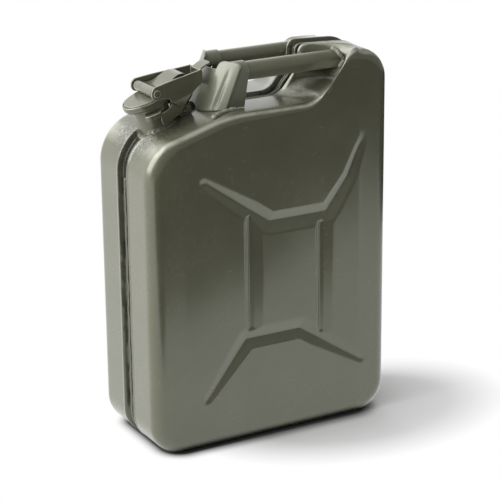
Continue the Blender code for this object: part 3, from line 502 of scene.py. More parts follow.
def half_shell(name, side):
    """One half as a closed sheet: the outer surface, and the inner one a sheet's thickness behind it with
    fewer rings on the face. Cells inside the spout's hole are left out, their rim is pulled onto the hole's
    circle, and the outer and inner rims are joined through the sheet. The rear half is mirrored in Y."""
    outer = shell_surface(side > 0)
    rows, columns = outer.shape[:2]
    around = np.roll(outer, -1, 1) - np.roll(outer, 1, 1)
    normal = np.cross(np.gradient(outer, axis=0), around)
    normal /= np.linalg.norm(normal, axis=-1, keepdims=True)
    inner = outer - normal * SHEET
    inner[-1, :, 1] = outer[-1, :, 1]
    kept = np.concatenate((np.arange(0, FACE_RINGS, INNER_STRIDE), np.arange(FACE_RINGS, rows)))
    middle = (outer + np.roll(outer, -1, 1)) / 2
    middle = (middle[:-1] + middle[1:]) / 2
    reach = np.linalg.norm(from_axis(middle)[1], axis=-1)
    gone = (reach < SPOUT_HOLE) & (middle[..., 2] > HOLE_LOWEST)
    touched = np.zeros((rows, columns), bool)
    for r, c in ((0, 0), (0, 1), (1, 0), (1, 1)):
        touched[r : r + rows - 1] |= np.roll(gone, c, 1)
    for surface in (outer, inner):
        foot, radial = from_axis(surface)
        on_rim = foot + radial * SPOUT_HOLE / np.linalg.norm(radial, axis=-1, keepdims=True)
        surface[touched] = on_rim[touched]
    points = np.concatenate((outer, inner[kept][::-1])).reshape(-1, 3) * np.array((1.0, -side, 1.0))
    total = rows + len(kept)
    cells = quads(total, columns)
    row, column = cells[:, 0] // columns, cells[:, 0] % columns
    source = np.concatenate((np.arange(rows), kept[::-1]))
    first = np.minimum(source[row], source[row + 1])
    faces = [cells[~gone[np.minimum(first, rows - 2), column]]]
    inside = np.zeros(rows, int)
    inside[kept] = np.arange(total - 1, rows - 1, -1)
    r, c = np.nonzero(gone)
    right = (c + 1) % columns
    below = np.minimum(r + 1, rows - 2)
    rims = (
        (~gone[r - 1, c], r, right, r, c),
        (~gone[below, c], r + 1, c, r + 1, right),
        (~gone[r, c - 1], r, c, r + 1, c),
        (~gone[r, right], r + 1, right, r, right),
    )
    for edge, r1, c1, r2, c2 in rims:
        corners = (r2 * columns + c2, r1 * columns + c1, inside[r1] * columns + c1, inside[r2] * columns + c2)
        faces.append(np.stack(corners, axis=1)[edge])
    ring = np.arange(columns)
    faces += [ring[None, ::-1], ring[None] + (total - 1) * columns]
    used, flat = np.unique(np.concatenate([f.ravel() for f in faces]), return_inverse=True)
    ends = np.cumsum([0] + [f.size for f in faces])
    faces = [flat[a:b].reshape(f.shape) for f, a, b in zip(faces, ends, ends[1:])]
    # The shells get the painted shade in the groove and the painted highlight on upward slopes.
    painted(name, "can", (points[used], faces), grime=GROOVE_SHADE_REACH)


half_shell("front_shell", -1)
half_shell("rear_shell", 1)


# Seam weld
# A hand-laid bead of weld metal that joins the two halves along the bottom of the sunk seam. It is left out
# where the spout and the hinge bracket cross the seam. Painted darker than the can, as painted shade of the
# groove it lies in.

SEAM_BEAD = 1.4
BEAD_START = -57.0
BEAD_STEP = 0.7
SEAM_LINE = joined(bends(SEAM_CORNERS))
ALONG_Y = np.array((0.0, 1.0, 0.0))


def corner_column(k):
    """Column of the outline at which rounded corner k starts."""
    return k * (CORNER_STEPS + 1) + sum(RUN_STEPS[:k]) - k


def evened(path, step):
    """The same line with its points an even step apart, measured along it."""
    walked = walk(path)
    even = np.linspace(0.0, walked[-1], max(2, round(walked[-1] / step)))
    return np.stack([np.interp(even, walked, path[:, k]) for k in range(path.shape[1])], axis=1)


def carried(path, up, section):
    """Grid [path point, section point, 3]. Each path point carries the section, whose first number goes along
    the side direction, path direction times up, and whose second goes along the remaining one."""
    along = np.gradient(path, axis=0)
    along /= np.linalg.norm(along, axis=1, keepdims=True)
    side = np.cross(along, up)
    side /= np.linalg.norm(side, axis=1, keepdims=True)
    over = np.cross(side, along)
    return path[:, None] + side[:, None] * section[..., :1] + over[:, None] * section[..., 1:]


def bead_skin(path, radius, up, pitch, rough, around):
    """Weld bead: a round section whose radius swells once every pitch with a sharp root between the ripples,
    and wanders slowly; both ends shrink to a rounded tip."""
    walked = walk(path)
    turn = full_turn(around)
    ripple = np.abs(np.sin(np.pi * walked / pitch + 0.6 * np.sin(walked / 3.7)))[:, None]
    slow, quick = np.sin(walked / 4.3 + 1.0)[:, None], np.sin(walked / 1.9)[:, None]
    wander = 0.5 * slow + 0.5 * quick * np.sin(2 * turn + 0.7)
    size = radius * (1.0 - rough + rough * ripple + 0.6 * rough * wander)
    ends = unit(np.minimum(walked, walked[-1] - walked) / radius)
    size = size * np.sqrt(np.clip(1.0 - (1.0 - ends) ** 2, 0.02, 1.0))[:, None]
    section = np.stack((size * np.cos(turn), size * np.sin(turn)), axis=-1)
    return skin(carried(path, up, section))


def seam_weld():
    """The bead starts under the hinge bracket, runs along the recess, over the hump, down the right wall and
    under the can, and ends on the left wall before the shoulder's corner."""
    line = SEAM_LINE + inward(SEAM_LINE) * (GROOVE_DEPTH - SEAM_BEAD - 0.3)
    path = np.roll(line, -corner_column(7), axis=0)[::-1][: -(CORNER_STEPS + 2)]
    shoulder = path[: RUN_STEPS[6]]
    first = np.argmin(np.abs(shoulder[:, 0] - BEAD_START))
    path = evened(path[first:], BEAD_STEP)
    walked = np.arange(len(path)) * BEAD_STEP
    drift = 0.35 * np.sin(walked / 5.1) + 0.25 * np.sin(walked / 2.3 + 2.0)
    bead = bead_skin(xyz(path[:, 0], drift, path[:, 1]), SEAM_BEAD, ALONG_Y, 2.6, 0.12, 12)
    # The bead's colour is darker than the can's drab: painted shade of the groove.
    painted("seam_weld", "can", bead, colour=(0.045, 0.042, 0.03), roughness=0.45, chips=0.3)


seam_weld()


# Spout
# Drawn steel tube with its mouth rolled outwards for the cap's seal, set leaning into the left shoulder
# across the seam and welded round its foot. A thin steel breather tube runs down inside it.

SPOUT_RADIUS = 15.0
SPOUT_BORE = 13.8
LIP_RADIUS = 15.8
MOUTH = 25.6
FILLET = 2.3
HOLD = 0.25


def rounded_line(corners, steps=6):
    """Closed line [point, 2] round the corners (x, y, cut), each eased over its cut. A point stands a short
    hold before and after each corner, so that smooth shading leaves the straight runs flat."""
    turns = bends(np.array(corners, float), steps)
    before = turns[:, :1] - np.roll(turns, 1, 0)[:, -1:]
    after = np.roll(turns, -1, 0)[:, :1] - turns[:, -1:]
    holds = []
    for run in (before, after):
        length = np.linalg.norm(run, axis=-1, keepdims=True)
        holds.append(run / np.maximum(length, 1e-9) * np.minimum(HOLD, 0.4 * length))
    line = np.concatenate((turns[:, :1] - holds[0], turns, turns[:, -1:] + holds[1]), axis=1).reshape(-1, 2)
    apart = np.linalg.norm(line - np.roll(line, 1, 0), axis=1) > 1e-4
    return line[apart]


def turned(profile, place, steps):
    """Grid [turn, profile point, 3]: each (radius, height) pair turned once round the axis, then placed."""
    turn = full_turn(steps)[:, None]
    radius, height = profile[:, 0], profile[:, 1]
    return place(radius * np.cos(turn), radius * np.sin(turn), height)


def in_spout(across, y, up):
    """World points from the spout's own directions: across its foot, along Y, and up its axis."""
    across, y, up = (value[..., None] for value in np.broadcast_arrays(across, y, up))
    return SPOUT_FOOT + across * SPOUT_ACROSS + y * ALONG_Y + up * SPOUT_UP


def neck_tube():
    profile = rounded_line(
        [
            (SPOUT_BORE, -2.0, 0.3),
            (SPOUT_RADIUS, -2.0, 0.3),
            (SPOUT_RADIUS, 22.2, 0.5),
            (LIP_RADIUS, 22.9, 0.6),
            (LIP_RADIUS, MOUTH, 1.3),
            (SPOUT_BORE, MOUTH, 1.2),
        ]
    )
    tube = skin(turned(profile, in_spout, 112), loop=True)
    painted("neck_tube", "can", tube, roughness=0.3, chips=0.6)


def top_height(x):
    """Height of the can's top beside the seam on its left part, read off the wall's outline."""
    line = SEAM_LINE[corner_column(5) :]
    return np.interp(x, line[::-1, 0], line[::-1, 1])


def neck_weld():
    """Concave fillet of weld metal round the tube's foot. At each turn the height of the sheet up the spout
    is found from the tube's side to the weld's toe, the toe dipping into the groove; between them the
    surface follows a quarter round, roughened by ripples that run round the foot and by lumps."""
    turn = full_turn(240)[:, None]
    lumps = np.sin(23 * turn + 1.5 * np.sin(5 * turn)) + 0.7 * np.sin(61 * turn) * np.sin(7 * turn)
    tube = np.full(turn.shape, SPOUT_RADIUS + 0.05)
    toe = SPOUT_RADIUS + FILLET + 0.3 * lumps
    bend = np.radians(np.linspace(0.0, 90.0, 11))
    radius = toe - (toe - SPOUT_RADIUS - 0.05) * np.cos(bend)
    up = np.zeros(radius.shape)
    for _ in range(30):
        ring = in_spout(radius * np.cos(turn), radius * np.sin(turn), up)
        dip = GROOVE_DEPTH * unit((GROOVE - np.abs(ring[..., 1])) / GROOVE_WALL)
        up = up - 0.6 * (ring[..., 2] - top_height(ring[..., 0]) + dip - 0.15)
    rough = 0.16 * np.sin(2 * bend) * (lumps + 0.6 * np.sin(97 * turn + 4 * bend))
    crest = up + FILLET * (1.0 - np.sin(bend)) + rough
    low = up.min(axis=1, keepdims=True) - 1.0
    radius = np.concatenate((radius, toe, tube), axis=1)
    height = np.concatenate((crest, up[:, -1:] - 0.8, low), axis=1)
    grid = in_spout(radius * np.cos(turn), radius * np.sin(turn), height)
    fillet = skin(np.swapaxes(grid, 0, 1), loop=True)
    painted("neck_weld", "can", fillet, colour=(0.075, 0.073, 0.053), roughness=0.5, chips=0.3)


neck_tube()
neck_weld()


# Catches
# Two small steel ears on the sides of the spout, under which the lever's toes come down when it is closed.
# Painted with the can and rubbed by the toes.

CATCH_FOOT = 15.3
CATCH_TOP = 20.5


def catch(name, side):
    """A rounded block section (radius, height) carried 46 degrees round the spout, thinner at its ends."""
    lower = [(CATCH_FOOT, 16.0, 0.3), (CATCH_TOP, 16.6, 1.2)]
    upper = [(CATCH_TOP, 21.5, 0.7), (CATCH_FOOT, 21.5, 0.3)]
    section = rounded_line(lower + upper, 4)
    turn = np.radians(np.linspace(-5.0, 41.0, 40))[:, None]
    taper = np.sqrt(np.clip(1.0 - np.abs(np.linspace(-1.0, 1.0, 40)[:, None]) ** 6, 0.05, 1.0))
    radius = CATCH_FOOT + (section[:, 0] - CATCH_FOOT) * taper
    grid = in_spout(-radius * np.sin(turn), side * radius * np.cos(turn), section[:, 1])
    painted(name, "can", skin(grid), chips=0.9)


catch("front_catch", -1)
catch("rear_catch", 1)


# Cap
# Pressed steel cap with a rolled rim and a shallow dish, narrower across than along to go between the lever's
# plates. A rivet hangs it under the strap, and a black rubber ring inside seals on the spout's lip.

CAP_WIDTH = 0.825


def in_cap(across, y, up):
    """World points from the spout's directions for the cap's oval."""
    return in_spout(across, y * CAP_WIDTH, up)


def cap():
    profile = rounded_line(
        [
            (2.8, 31.3, 0.1),
            (18.9, 31.3, 0.5),
            (19.1, 29.9, 0.15),
            (19.6, 29.9, 0.15),
            (19.8, 30.7, 0.4),
            (21.0, 30.5, 1.0),
            (21.0, 25.6, 1.6),
            (19.6, 25.0, 0.4),
            (19.6, 29.0, 0.8),
            (2.8, 29.2, 0.1),
        ]
    )
    painted("cap", "closure", skin(turned(profile, in_cap, 120), loop=True), chips=0.7, dust=0.8)


def finish(node, colour, metallic, roughness, grain_scale):
    """Material of an unpainted or inner piece: two tones in a fine pattern, and a bump from it."""
    made, shader, place = new_material(node + "_finish")
    grain = noise(place, grain_scale, 4.0)
    dark, light = (tuple(c * k for c in colour) + (1.0,) for k in (0.8, 1.2))
    feed(shader, "Base Color", grain.ramp(0.3, 0.7).blend(dark, light))
    feed(shader, "Roughness", roughness + (noise(place, 90.0) - 0.5) * 0.2)
    bump = place.node("ShaderNodeBump", {"Height": grain, "Strength": 0.3, "Distance": 0.0001})
    feed(shader, "Normal", bump)
    feed(shader, "Metallic", metallic)
    return made


def rounded_box(low, high, cut, steps):
    """Closed line round the rectangle between two corners (x, y), each corner eased over the cut."""
    (x0, y0), (x1, y1) = low, high
    return rounded_line([(x0, y0, cut), (x1, y0, cut), (x1, y1, cut), (x0, y1, cut)], steps)


def cap_gasket():
    section = rounded_box((13.6, MOUTH + 0.3), (19.2, 29.0), 0.5, 4)
    rubber = finish("cap_gasket", (0.02, 0.02, 0.022), 0.0, 0.6, 1200.0)
    piece("cap_gasket_look", "closure", ["cap_gasket"], rubber, skin(turned(section, in_cap, 96), loop=True))


cap()
cap_gasket()

# The rivet under the strap and the breather tube in the spout keep the solids of the frame and get a finish.
INNER_NODES = (("cap_rivet", (0.11, 0.105, 0.08), 0.0), ("vent_tube", (0.42, 0.41, 0.38), 1.0))
for node, colour, metallic in INNER_NODES:
    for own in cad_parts[node].material_slots:
        own.material = finish(node, colour, metallic, 0.38, 600.0)


# Hinge
# A folded steel bracket spot-welded on the shoulder behind the spout, with two round cheeks that hold a
# headed pin. Painted with the can, the bracket a little browner.

HINGE = np.array((-58.0, 0.0, 284.5 + (-58.0 + 38.0) * SHOULDER_SLOPE + 5.81))
PLATE_ROUND = 0.35


def plate_skin(outline, thick, place):
    """Flat plate: the closed outline [n, 2] at several depths of the sheet, drawn in by a quarter round along
    both faces and once more just inside it, with a flat face on each side; place(x, z, depth) gives the
    points."""
    turn = np.radians([0.0, 30.0, 60.0, 90.0])
    drawn = np.concatenate(([PLATE_ROUND + 0.3], PLATE_ROUND * (1.0 - np.sin(turn))))
    depth = np.concatenate(([-thick / 2], PLATE_ROUND * (1.0 - np.cos(turn)) - thick / 2))
    drawn = np.concatenate((drawn, drawn[::-1]))
    depth = np.concatenate((depth, -depth[::-1]))
    x, z = np.moveaxis(outline + inward(outline) * drawn[:, None, None], -1, 0)
    return skin(place(x, z, np.broadcast_to(depth[:, None], x.shape)))


def beside(y):
    """Placing for a plate that stands at depth y across the can."""
    return lambda x, z, depth: xyz(x, y + depth, z)


def hinge_bracket():
    left, right = HINGE[0] - 4.4, HINGE[0] + 5.0
    feet = [(x, 284.8 + (x + 38.0) * SHOULDER_SLOPE) for x in (left, right)]
    lower = [(x, z, 0.3) for x, z in feet]
    upper = [(x, z + 1.2, 0.3) for x, z in feet[::-1]]
    base = rounded_line(lower + upper, 3)
    cheek = rounded_line(
        [
            (*feet[0], 0.4),
            (*feet[1], 0.4),
            (right, HINGE[2] + 5.0, 4.9),
            (left - 0.6, HINGE[2] + 5.0, 4.9),
            (left - 0.6, HINGE[2] - 3.0, 1.0),
        ],
        8,
    )
    skins = [plate_skin(base, 16.6, beside(0.0))]
    skins += [plate_skin(cheek, 1.5, beside(y)) for y in (-8.75, 8.75)]
    painted("hinge_bracket", "can", *skins, colour=(0.075, 0.062, 0.05), chips=0.8)


def headed_pin(name, body, centre, radius, half, head, chips):
    """Round pin along Y whose ends are hammered to low domes of the head's radius."""
    low = [(0.02, -half - 1.1, 0.005), (head, -half - 1.0, 0.8), (head, -half, 0.2), (radius, -half, 0.2)]
    profile = rounded_line(low + [(reach, -height, cut) for reach, height, cut in low[::-1]], 5)

    def place(across, up, along):
        return centre + xyz(across, along, up)

    grid = turned(profile, place, 48)
    painted(name, body, skin(np.swapaxes(grid, 0, 1)), chips=chips)


hinge_bracket()
headed_pin("hinge_pin", "can", HINGE, 2.2, 9.8, 2.9, 1.0)


# Closure strap
# A wide strip of 1.2 mm steel, rolled round the lever's cross rod, bent over the cap in a low hump and down
# between the hinge's cheeks, where its narrow end is rolled round the hinge pin. Painted with the can.

ROD = SPOUT_FOOT + 2.9 * SPOUT_ACROSS + 35.8 * SPOUT_UP
LEVER_SPREAD = 17.9
LEVER_TAPER = 0.19
STRAP_HALF = 0.6


def spread(x):
    """Distance of the lever's side plates from the middle plane: they close in towards the thumb tab."""
    return LEVER_SPREAD - LEVER_TAPER * (x - ROD[0])


def flowing(points, steps):
    """Open line through the points, [n, d]: a Catmull-Rom curve with that many pieces between neighbours."""
    p = np.concatenate((2 * points[:1] - points[1:2], points, 2 * points[-1:] - points[-2:-1]))
    t = (np.arange(steps) / steps)[None, :, None]
    a, b, c, d = (p[k : len(p) - 3 + k, None, :] for k in range(4))
    line = b + 0.5 * ((c - a) * t + (2 * a - 5 * b + 4 * c - d) * t**2 + (3 * b - a - 3 * c + d) * t**3)
    return np.concatenate((line.reshape(-1, points.shape[1]), points[-1:]))


def on_circle(degrees):
    """Points (cos, sin) of the unit circle at each angle."""
    turn = np.radians(degrees)
    return np.stack((np.cos(turn), np.sin(turn)), axis=-1)


def closure_arm():
    """The strap's line (x, z) is a curve through points set from the rod, from the fold over the hinge and
    from the pin. The strip narrows behind the rod and again on its way down."""
    rod, pin = ROD[[0, 2]], HINGE[[0, 2]]
    fold = np.array((pin[0] + 4.3, rod[1] + 10.3))
    middle = [rod + step for step in ((5.0, 2.0), (10.5, 3.0), (16.5, 6.4))]
    middle += [fold + step for step in ((-12.0, -0.2), (-7.5, 0.5), (-3.6, -0.4), (-1.2, -2.6), (0.0, -5.5))]
    middle += [fold + (0.3, -9.5), pin + (4.2, 9.5)]
    front_roll = rod + 3.6 * on_circle(np.linspace(385.0, 75.0, 14))
    hinge_roll = pin + 3.1 * on_circle(-np.linspace(0.0, 285.0, 13))
    line = evened(flowing(np.concatenate((front_roll, middle, hinge_roll)), 8), 0.8)
    x, z = line.T
    behind_rod = unit((x - rod[0] - 3.0) / 6.0)
    wide = np.minimum(15.4, spread(x) - 1.5) - 2.2 * behind_rod
    down = unit((rod[1] + 4.0 - z) / 14.0) * (x > pin[0] - 8.0)
    wide = wide + (7.6 - wide) * down
    corner = rounded_box((-1.0, -1.0), (1.0, 1.0), 0.3, 3)
    away = corner[:, 0] * STRAP_HALF
    over = np.sign(corner[:, 1]) * (wide[:, None] - STRAP_HALF + STRAP_HALF * np.abs(corner[:, 1]))
    section = np.stack((np.broadcast_to(away, over.shape), over), axis=-1)
    strap = skin(carried(xyz(x, 0.0, z), ALONG_Y, section))
    painted("closure_arm", "closure", strap, chips=0.8, dust=0.7)


closure_arm()
headed_pin("lever_pin", "closure", ROD, 2.7, 18.9, 3.3, 0.9)


# Locking lever
# One pressing of 1.5 mm steel bent to a U: two side plates with a toe each, the rounded web that joins them,
# and a flat thumb tab. It turns on the cross rod, and its toes pull the cap down onto the spout.

LEVER_PLATE = 1.5
LEVER_EDGE = 0.35
LIGHT_DRAB = (0.09, 0.09, 0.056)


def lever():
    outline = rounded_line(
        [
            (-4.9, 4.9, 4.3),
            (15.0, 8.6, 7.0),
            (34.0, 11.0, 7.0),
            (45.4, 13.0, 1.4),
            (46.6, 1.8, 1.2),
            (38.5, -2.4, 5.0),
            (32.5, -8.4, 4.0),
            (28.2, -15.2, 4.0),
            (23.0, -20.5, 4.0),
            (6.0, -27.2, 1.4),
            (4.0, -22.2, 2.0),
            (4.0, -16.6, 1.2),
            (9.5, -15.6, 3.0),
            (14.9, -11.8, 2.6),
            (14.2, -7.4, 2.6),
            (8.0, -5.0, 3.0),
            (2.0, -5.6, 2.4),
            (-4.9, -4.6, 3.6),
        ],
        7,
    )
    outline = outline[::-1] + ROD[[0, 2]]

    def side(sign):
        return lambda x, z, depth: xyz(x, sign * spread(x) + depth, z)

    plates = [plate_skin(outline, LEVER_PLATE, side(sign)) for sign in (-1, 1)]
    half = LEVER_PLATE / 2
    bend = np.radians(np.linspace(-90.0, 90.0, 41))
    reach = spread(ROD[0] + 45.0) - 0.2 - half
    path = xyz(ROD[0] + 44.4 + 2.65 * np.cos(bend), reach * np.sin(bend), ROD[2] + 7.25)
    lean = np.array((-0.135, 0.0, 0.99))
    web = skin(carried(path, lean, rounded_box((-half, -5.15), (half, 5.15), LEVER_EDGE, 3)))
    rise = np.array([(44.6, 11.0), (47.0, 12.7), (49.5, 14.2), (52.0, 15.2), (55.2, 16.1)]) + ROD[[0, 2]]
    rise = evened(flowing(rise, 6), 0.5)
    share = np.linspace(0.0, 1.0, len(rise))[:, None]
    tip = np.sqrt(unit(1.0 - unit((share - 0.86) / 0.14) ** 2 * 0.5))
    corner = rounded_box((-half, -6.5), (half, 6.5), LEVER_EDGE, 3)
    wide = corner[:, 1] * tip
    section = np.stack((np.broadcast_to(corner[:, 0], wide.shape), wide), axis=-1)
    tab = skin(carried(xyz(rise[:, 0], 0.0, rise[:, 1]), ALONG_Y, section))
    painted("lever", "lever", *plates, web, tab, colour=LIGHT_DRAB, chips=0.9, dust=0.6)


lever()


# Handles
# Two channels rolled from sheet, open below with curled rims. Their left ends sit in the bracket's sleeves,
# and the right ends are welded to the steep side of the hump. Painted with the can.

HANDLE_Y = 22.5
HANDLE_CENTRE = 312.0
HANDLE_RADIUS = 8.0
HANDLE_CURL = 1.3
HANDLE_START = -19.8
ALONG_X = np.array((1.0, 0.0, 0.0))
NOSE = slice(corner_column(3), corner_column(5))


def hump_wall(y, z):
    """X of the hump's steep side at depth y and height z, both [n], read off the can's outline there."""
    lines = side_rows(np.abs(y), y[0] > 0.0)[:, NOSE]
    at = np.clip((lines[..., 1] > z[:, None]).sum(1), 1, lines.shape[1] - 1)
    row = np.arange(len(y))
    x0, z0 = lines[row, at - 1].T
    x1, z1 = lines[row, at].T
    return x0 + (x1 - x0) * unit((z - z0) / np.where(z1 == z0, 1.0, z1 - z0))


def handle_section():
    """Closed line (y, z) of the channel: curled rim, half round top, other rim, and back on the inside."""
    inner = HANDLE_RADIUS - HANDLE_CURL
    arch = on_circle(np.linspace(180.0, 0.0, 41))
    left = HANDLE_CURL * on_circle(np.linspace(90.0, -180.0, 19)) - (inner, 4.5)
    right = left[::-1] * (-1.0, 1.0)
    return np.concatenate((left, HANDLE_RADIUS * arch, right, inner * arch[::-1]))


def handle(name, side):
    """The channel from inside its sleeve to just past the hump's wall, which is read no higher than Z 319."""
    section = handle_section()
    y = side * HANDLE_Y + section[:, 0]
    z = HANDLE_CENTRE + section[:, 1]
    end = hump_wall(y, np.minimum(z, 319.0)) + 0.3
    share = np.linspace(0.0, 1.0, 44)[:, None]
    x = HANDLE_START + (end - HANDLE_START) * share
    painted(name, "can", skin(xyz(x, y, z)), colour=LIGHT_DRAB, roughness=0.3, chips=0.6, dust=0.8)


def handle_weld(name, side):
    """Thick uneven bead round the outer side of the handle's end, kept near its own radius off the hump."""
    turn = np.radians(np.linspace(-42.0, 85.0 if side < 0 else 50.0, 90))
    out = HANDLE_RADIUS + 1.2
    y = side * (HANDLE_Y + out * np.where(turn > 0.0, np.cos(turn), 1.0))
    z = HANDLE_CENTRE + out * np.sin(turn)
    x = hump_wall(y, np.minimum(z, 317.0)) - 1.6
    bead = bead_skin(evened(xyz(x, y, np.minimum(z, 321.9)), 0.4), 2.3, ALONG_X, 2.1, 0.09, 20)
    painted(name, "can", bead, colour=(0.17, 0.17, 0.13), roughness=0.45, chips=0.6)


handle("front_handle", -1)
handle("rear_handle", 1)
handle_weld("front_handle_weld", -1)
handle_weld("rear_handle_weld", 1)


# Handle bracket
# One pressing of sheet steel: a bowed plate, about 1.5 mm thick, that leans against the recess, with a saddle
# between the handles, and on each side a thinner flange that runs up into a sleeve. Welded at both feet.

BRACKET_HALF = 32.3
BRACKET_FOOT = 280.0
SADDLE = 313.2
SADDLE_HALF = 12.7
PLATE_STEP = 1.7
SLEEVE_OUTER = 9.1
SLEEVE_INNER = 8.25
CLEARANCE = 0.3


def bracket_x(y, z):
    """X of the bowed, leaning plate: it bends back with a power of y, with a crease beside each flange."""
    middle = -50.0 + 0.5236 * (z - BRACKET_FOOT)
    corner = -36.0 + 0.4146 * (z - 278.0)
    bow = middle + (corner - middle) * np.abs(y / 32.8) ** 2.5
    crease = 0.9 * bell(np.abs(y), 25.0, 1.6)
    return bow + crease * unit((z - BRACKET_FOOT) / 12.0) * unit((318.0 - z) / 8.0)


def handle_bracket():
    """The plate goes from an arched foot to the saddle and to a crown over each handle; its ring of points
    runs up the front, over the top edge, down the back and under the foot."""
    y = np.linspace(-BRACKET_HALF, BRACKET_HALF, 131)
    foot_x = bracket_x(y, np.full(len(y), BRACKET_FOOT))
    low = np.maximum(top_height(foot_x), top_height(foot_x + PLATE_STEP)) + CLEARANCE
    low = low + 4.5 * np.sqrt(unit(1.0 - (y / 8.0) ** 2))
    away = np.abs(np.abs(y) - HANDLE_Y)
    saddle = SADDLE + 0.8 * (np.abs(y) / SADDLE_HALF) ** 2
    crown = np.maximum(SADDLE, HANDLE_CENTRE + 8.9 * unit(1.0 - (away / 10.3) ** 4) ** 0.25)
    high = np.where(np.abs(y) < SADDLE_HALF, saddle, crown)
    z = low[:, None] + (high - low)[:, None] * np.linspace(0.0, 1.0, 34)
    x = bracket_x(y[:, None], z)
    front = xyz(x, y[:, None], z)
    back = front + (PLATE_STEP, 0.0, 0.0)
    under = (front[:, :1] + back[:, :1]) / 2 - (0.0, 0.0, 0.1)
    over = (front[:, -1:] + back[:, -1:]) / 2 + (0.0, 0.0, 0.35)
    plate = skin(np.concatenate((front, over, back[:, ::-1], under), axis=1))
    look = {"colour": (0.115, 0.118, 0.083), "roughness": 0.42, "chips": 0.8, "dust": 0.6}
    painted("handle_bracket", "can", plate, bracket_wing(-1), bracket_wing(1), **look)


def bracket_wing(side):
    """Flange and sleeve: a section with the sheet's thickness, up the flange and over the handle, carried
    along X from the plate's back to an edge that slants from X -16 at the foot to X -11.5 at the sleeve."""
    straight = np.linspace(-33.0, -1.0, 24)
    arch = on_circle(np.linspace(0.0, 180.0, 33))

    def line(radius):
        flange = np.stack((np.full(len(straight), radius), straight), axis=1)
        return np.concatenate((flange, radius * arch, [(-radius, -2.0)]))

    section = np.concatenate((line(SLEEVE_OUTER), line(SLEEVE_INNER)[::-1]))
    y = side * (HANDLE_Y + section[:, 0])
    foot = top_height(bracket_x(y, np.full(len(y), BRACKET_FOOT)) + 8.0) + CLEARANCE
    z = np.maximum(HANDLE_CENTRE + section[:, 1], foot)
    start = bracket_x(y, z) + PLATE_STEP / 2
    end = -16.0 + 4.5 * unit((z - 284.5) / 27.5)
    share = np.linspace(0.0, 1.0, 26)[:, None]
    x = start + (end - start) * share
    z = np.maximum(z, np.minimum(top_height(x) + CLEARANCE, 284.8) - 100.0 * (section[:, 1] > -25.0))
    return skin(xyz(x, y, z))


def bracket_weld(name, side):
    """Lumpy bead along the foot of the flange and on down the shoulder's edge."""
    x = np.linspace(-50.0, -25.0, 60)
    y = side * (34.7 + 5.5 * unit((-34.0 - x) / 16.0) ** 1.5)
    upward = np.array((0.0, 0.0, 1.0))
    bead = bead_skin(xyz(x, y, top_height(x) + 0.7), 2.2, upward, 6.1, 0.2, 20)
    painted(name, "can", bead, colour=(0.2, 0.2, 0.155), roughness=0.45, chips=0.8)


handle_bracket()
bracket_weld("front_bracket_weld", -1)
bracket_weld("rear_bracket_weld", 1)


# Studio
# A white floor that takes the can's shadow, with a painted contact shadow round the can's foot, and one
# wide soft lamp on the left and behind. A sky lights the rest, and only reflections see the dark card. The
# camera stands to the left of the can's front, a little above it.

CAMERA_AIM = np.array((0.00535, 0.0, 0.14957))
CAMERA_DISTANCE = 1.6674
CAMERA_FOCUS = 1964.25 / 500.0
SENSOR = 36.0
WHITE = (1.0, 1.0, 1.0, 1.0)
azimuth, elevation, tilt = np.radians((28.962, 18.901, -0.59))


def stand(data, side, up, back, place):
    """Object that holds a camera or lamp, its own X, Y and Z along the three directions."""
    holder = bpy.data.objects.new(data.name, data)
    bpy.context.scene.collection.objects.link(holder)
    rows = np.eye(4)
    rows[:3, :4] = np.stack((side, up, back, place), axis=1)
    holder.matrix_world = Matrix(rows.tolist())
    return holder


flat = (-np.sin(azimuth) * np.cos(elevation), -np.cos(azimuth) * np.cos(elevation))
away = np.array((*flat, np.sin(elevation)))
right = np.array((np.cos(azimuth), -np.sin(azimuth), 0.0))
up = np.cross(away, right)
camera = bpy.data.cameras.new("camera")
camera.lens = CAMERA_FOCUS * SENSOR
camera.sensor_width = SENSOR
camera.clip_start = 0.05
camera.clip_end = 30.0
camera_side = right * np.cos(tilt) + up * np.sin(tilt)
camera_up = up * np.cos(tilt) - right * np.sin(tilt)
place = CAMERA_AIM + away * CAMERA_DISTANCE
bpy.context.scene.camera = stand(camera, camera_side, camera_up, away, place)


def ray(signal, kind):
    """1 for rays of one kind, Camera or Glossy, and 0 for the rest."""
    return signal.node("ShaderNodeLightPath", {}, output=f"Is {kind} Ray")


world = bpy.data.worlds.new("studio")
bpy.context.scene.world = world
world.use_nodes = True
sky = Signal(world.node_tree)
seen, gloss = ray(sky, "Camera"), ray(sky, "Glossy")
towards = sky.node("ShaderNodeTexCoord", {}, output="Generated")
east, north, high = (coordinate(towards, k) for k in (0, 1, 2))
behind = (north * 0.85 - east * 0.55).ramp(0.0, 0.4)
lit = (high * 0.7 - east * 0.6 + north * 0.35).ramp(0.0, 1.0)
strength = seen + (1 - seen) * (gloss * (behind * 0.75 + 0.27) + (1 - gloss) * (lit * 1.5 + 0.12))
background = world.node_tree.nodes["Background"]
feed(background, "Strength", strength)
feed(background, "Color", WHITE)

LAMP_PLACE = np.array((-1.3, 0.45, 1.15))
lamp = bpy.data.lights.new("left_lamp", "AREA")
lamp.size = 1.5
lamp.energy = 26.0
lamp_back = LAMP_PLACE - (0.0, 0.0, 0.16)
lamp_back /= np.linalg.norm(lamp_back)
lamp_side = np.cross((0.0, 0.0, 1.0), lamp_back)
lamp_side /= np.linalg.norm(lamp_side)
stand(lamp, lamp_side, np.cross(lamp_back, lamp_side), lamp_back, LAMP_PLACE)


def stage_sheet(name, corners, paint):
    """Flat sheet on or over the floor that belongs to the studio."""
    mesh = bpy.data.meshes.new(name)
    mesh.from_pydata(corners, [], [tuple(range(len(corners)))])
    mesh.materials.append(paint)
    sheet = bpy.data.objects.new(name, mesh)
    bpy.context.scene.collection.objects.link(sheet)
    return sheet
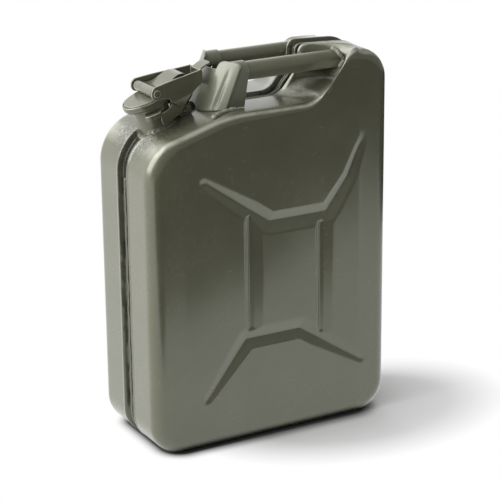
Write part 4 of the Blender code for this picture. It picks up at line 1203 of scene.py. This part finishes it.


# The floor glows plain white for the camera far from the can, and for reflections outside its foot. Inside
# a rounded rectangle round that foot it is painted dark, a painted contact shadow, and the dark fades out
# past it.
CONTACT_HALF = (0.08, 0.03)
CONTACT_ROUND = 0.018
CONTACT_FADE = 0.013
CLEAR_FADE = 0.012
CONTACT_SHADOW_TONE = (0.1, 0.1, 0.1, 1.0)
floor_paint, floor_shader, floor_place = new_material("floor_paint")
paper_tone = noise(floor_place, 3.0).blend((0.88, 0.88, 0.88, 1.0), (0.9, 0.9, 0.9, 1.0))
feed(floor_shader, "Roughness", 0.8)
feed(floor_shader, "Specular IOR Level", 0.2)
floor_x, floor_y = (coordinate(floor_place, k) for k in (0, 1))
off_x, off_y = floor_x * 4.8 - 0.4, floor_y * 7.0 + 0.25
far = (off_x * off_x + off_y * off_y).ramp(0.2, 0.55)
past_x = floor_place.math("MAXIMUM", magnitude(floor_x) - CONTACT_HALF[0], 0.0)
past_y = floor_place.math("MAXIMUM", magnitude(floor_y) - CONTACT_HALF[1], 0.0)
beyond = floor_place.math("SQRT", past_x * past_x + past_y * past_y) - CONTACT_ROUND
clear = beyond.ramp(0.0, CLEAR_FADE)
painted_contact_shadow = beyond.ramp(0.0, CONTACT_FADE)
# Painted contact shadow: the floor's colour is dark round the can's foot.
feed(floor_shader, "Base Color", painted_contact_shadow.blend(CONTACT_SHADOW_TONE, paper_tone))
glow = floor_place.node("ShaderNodeEmission", {"Color": WHITE, "Strength": 1.0})
tree = floor_paint.node_tree
paper = Signal(tree, floor_shader.outputs[0])
glowing = ray(floor_place, "Camera") * far * painted_contact_shadow + ray(floor_place, "Glossy") * clear
mixed = paper.node("ShaderNodeMixShader", {0: glowing, 1: paper, 2: glow})
tree.links.new(mixed.socket, tree.nodes["Material Output"].inputs["Surface"])
stage_sheet("floor", [(-4, -4, 0), (4, -4, 0), (4, 4, 0), (-4, 4, 0)], floor_paint)

dark_paint, dark_shader, dark_place = new_material("dark_card_paint")
dark_tone = noise(dark_place, 3.0).blend((0.01, 0.01, 0.01, 1.0), (0.014, 0.014, 0.014, 1.0))
feed(dark_shader, "Base Color", dark_tone)
feed(dark_shader, "Roughness", 0.9)
edge = [(-0.12, -0.27), (0.07, -0.35), (0.227, -0.425), (0.36, -0.535), (0.62, -0.62), (0.62, 1.2)]
edge += [(3.5, 1.2), (3.5, -3.5), (-3.0, -3.5), (-1.5, -1.4), (-0.45, -0.48)]
card = stage_sheet("dark_card", [(x, y, 0.002) for x, y in edge], dark_paint)
card.visible_camera = False
card.visible_diffuse = False
card.visible_shadow = False
card.visible_transmission = False

bpy.context.scene.view_settings.view_transform = "Standard"
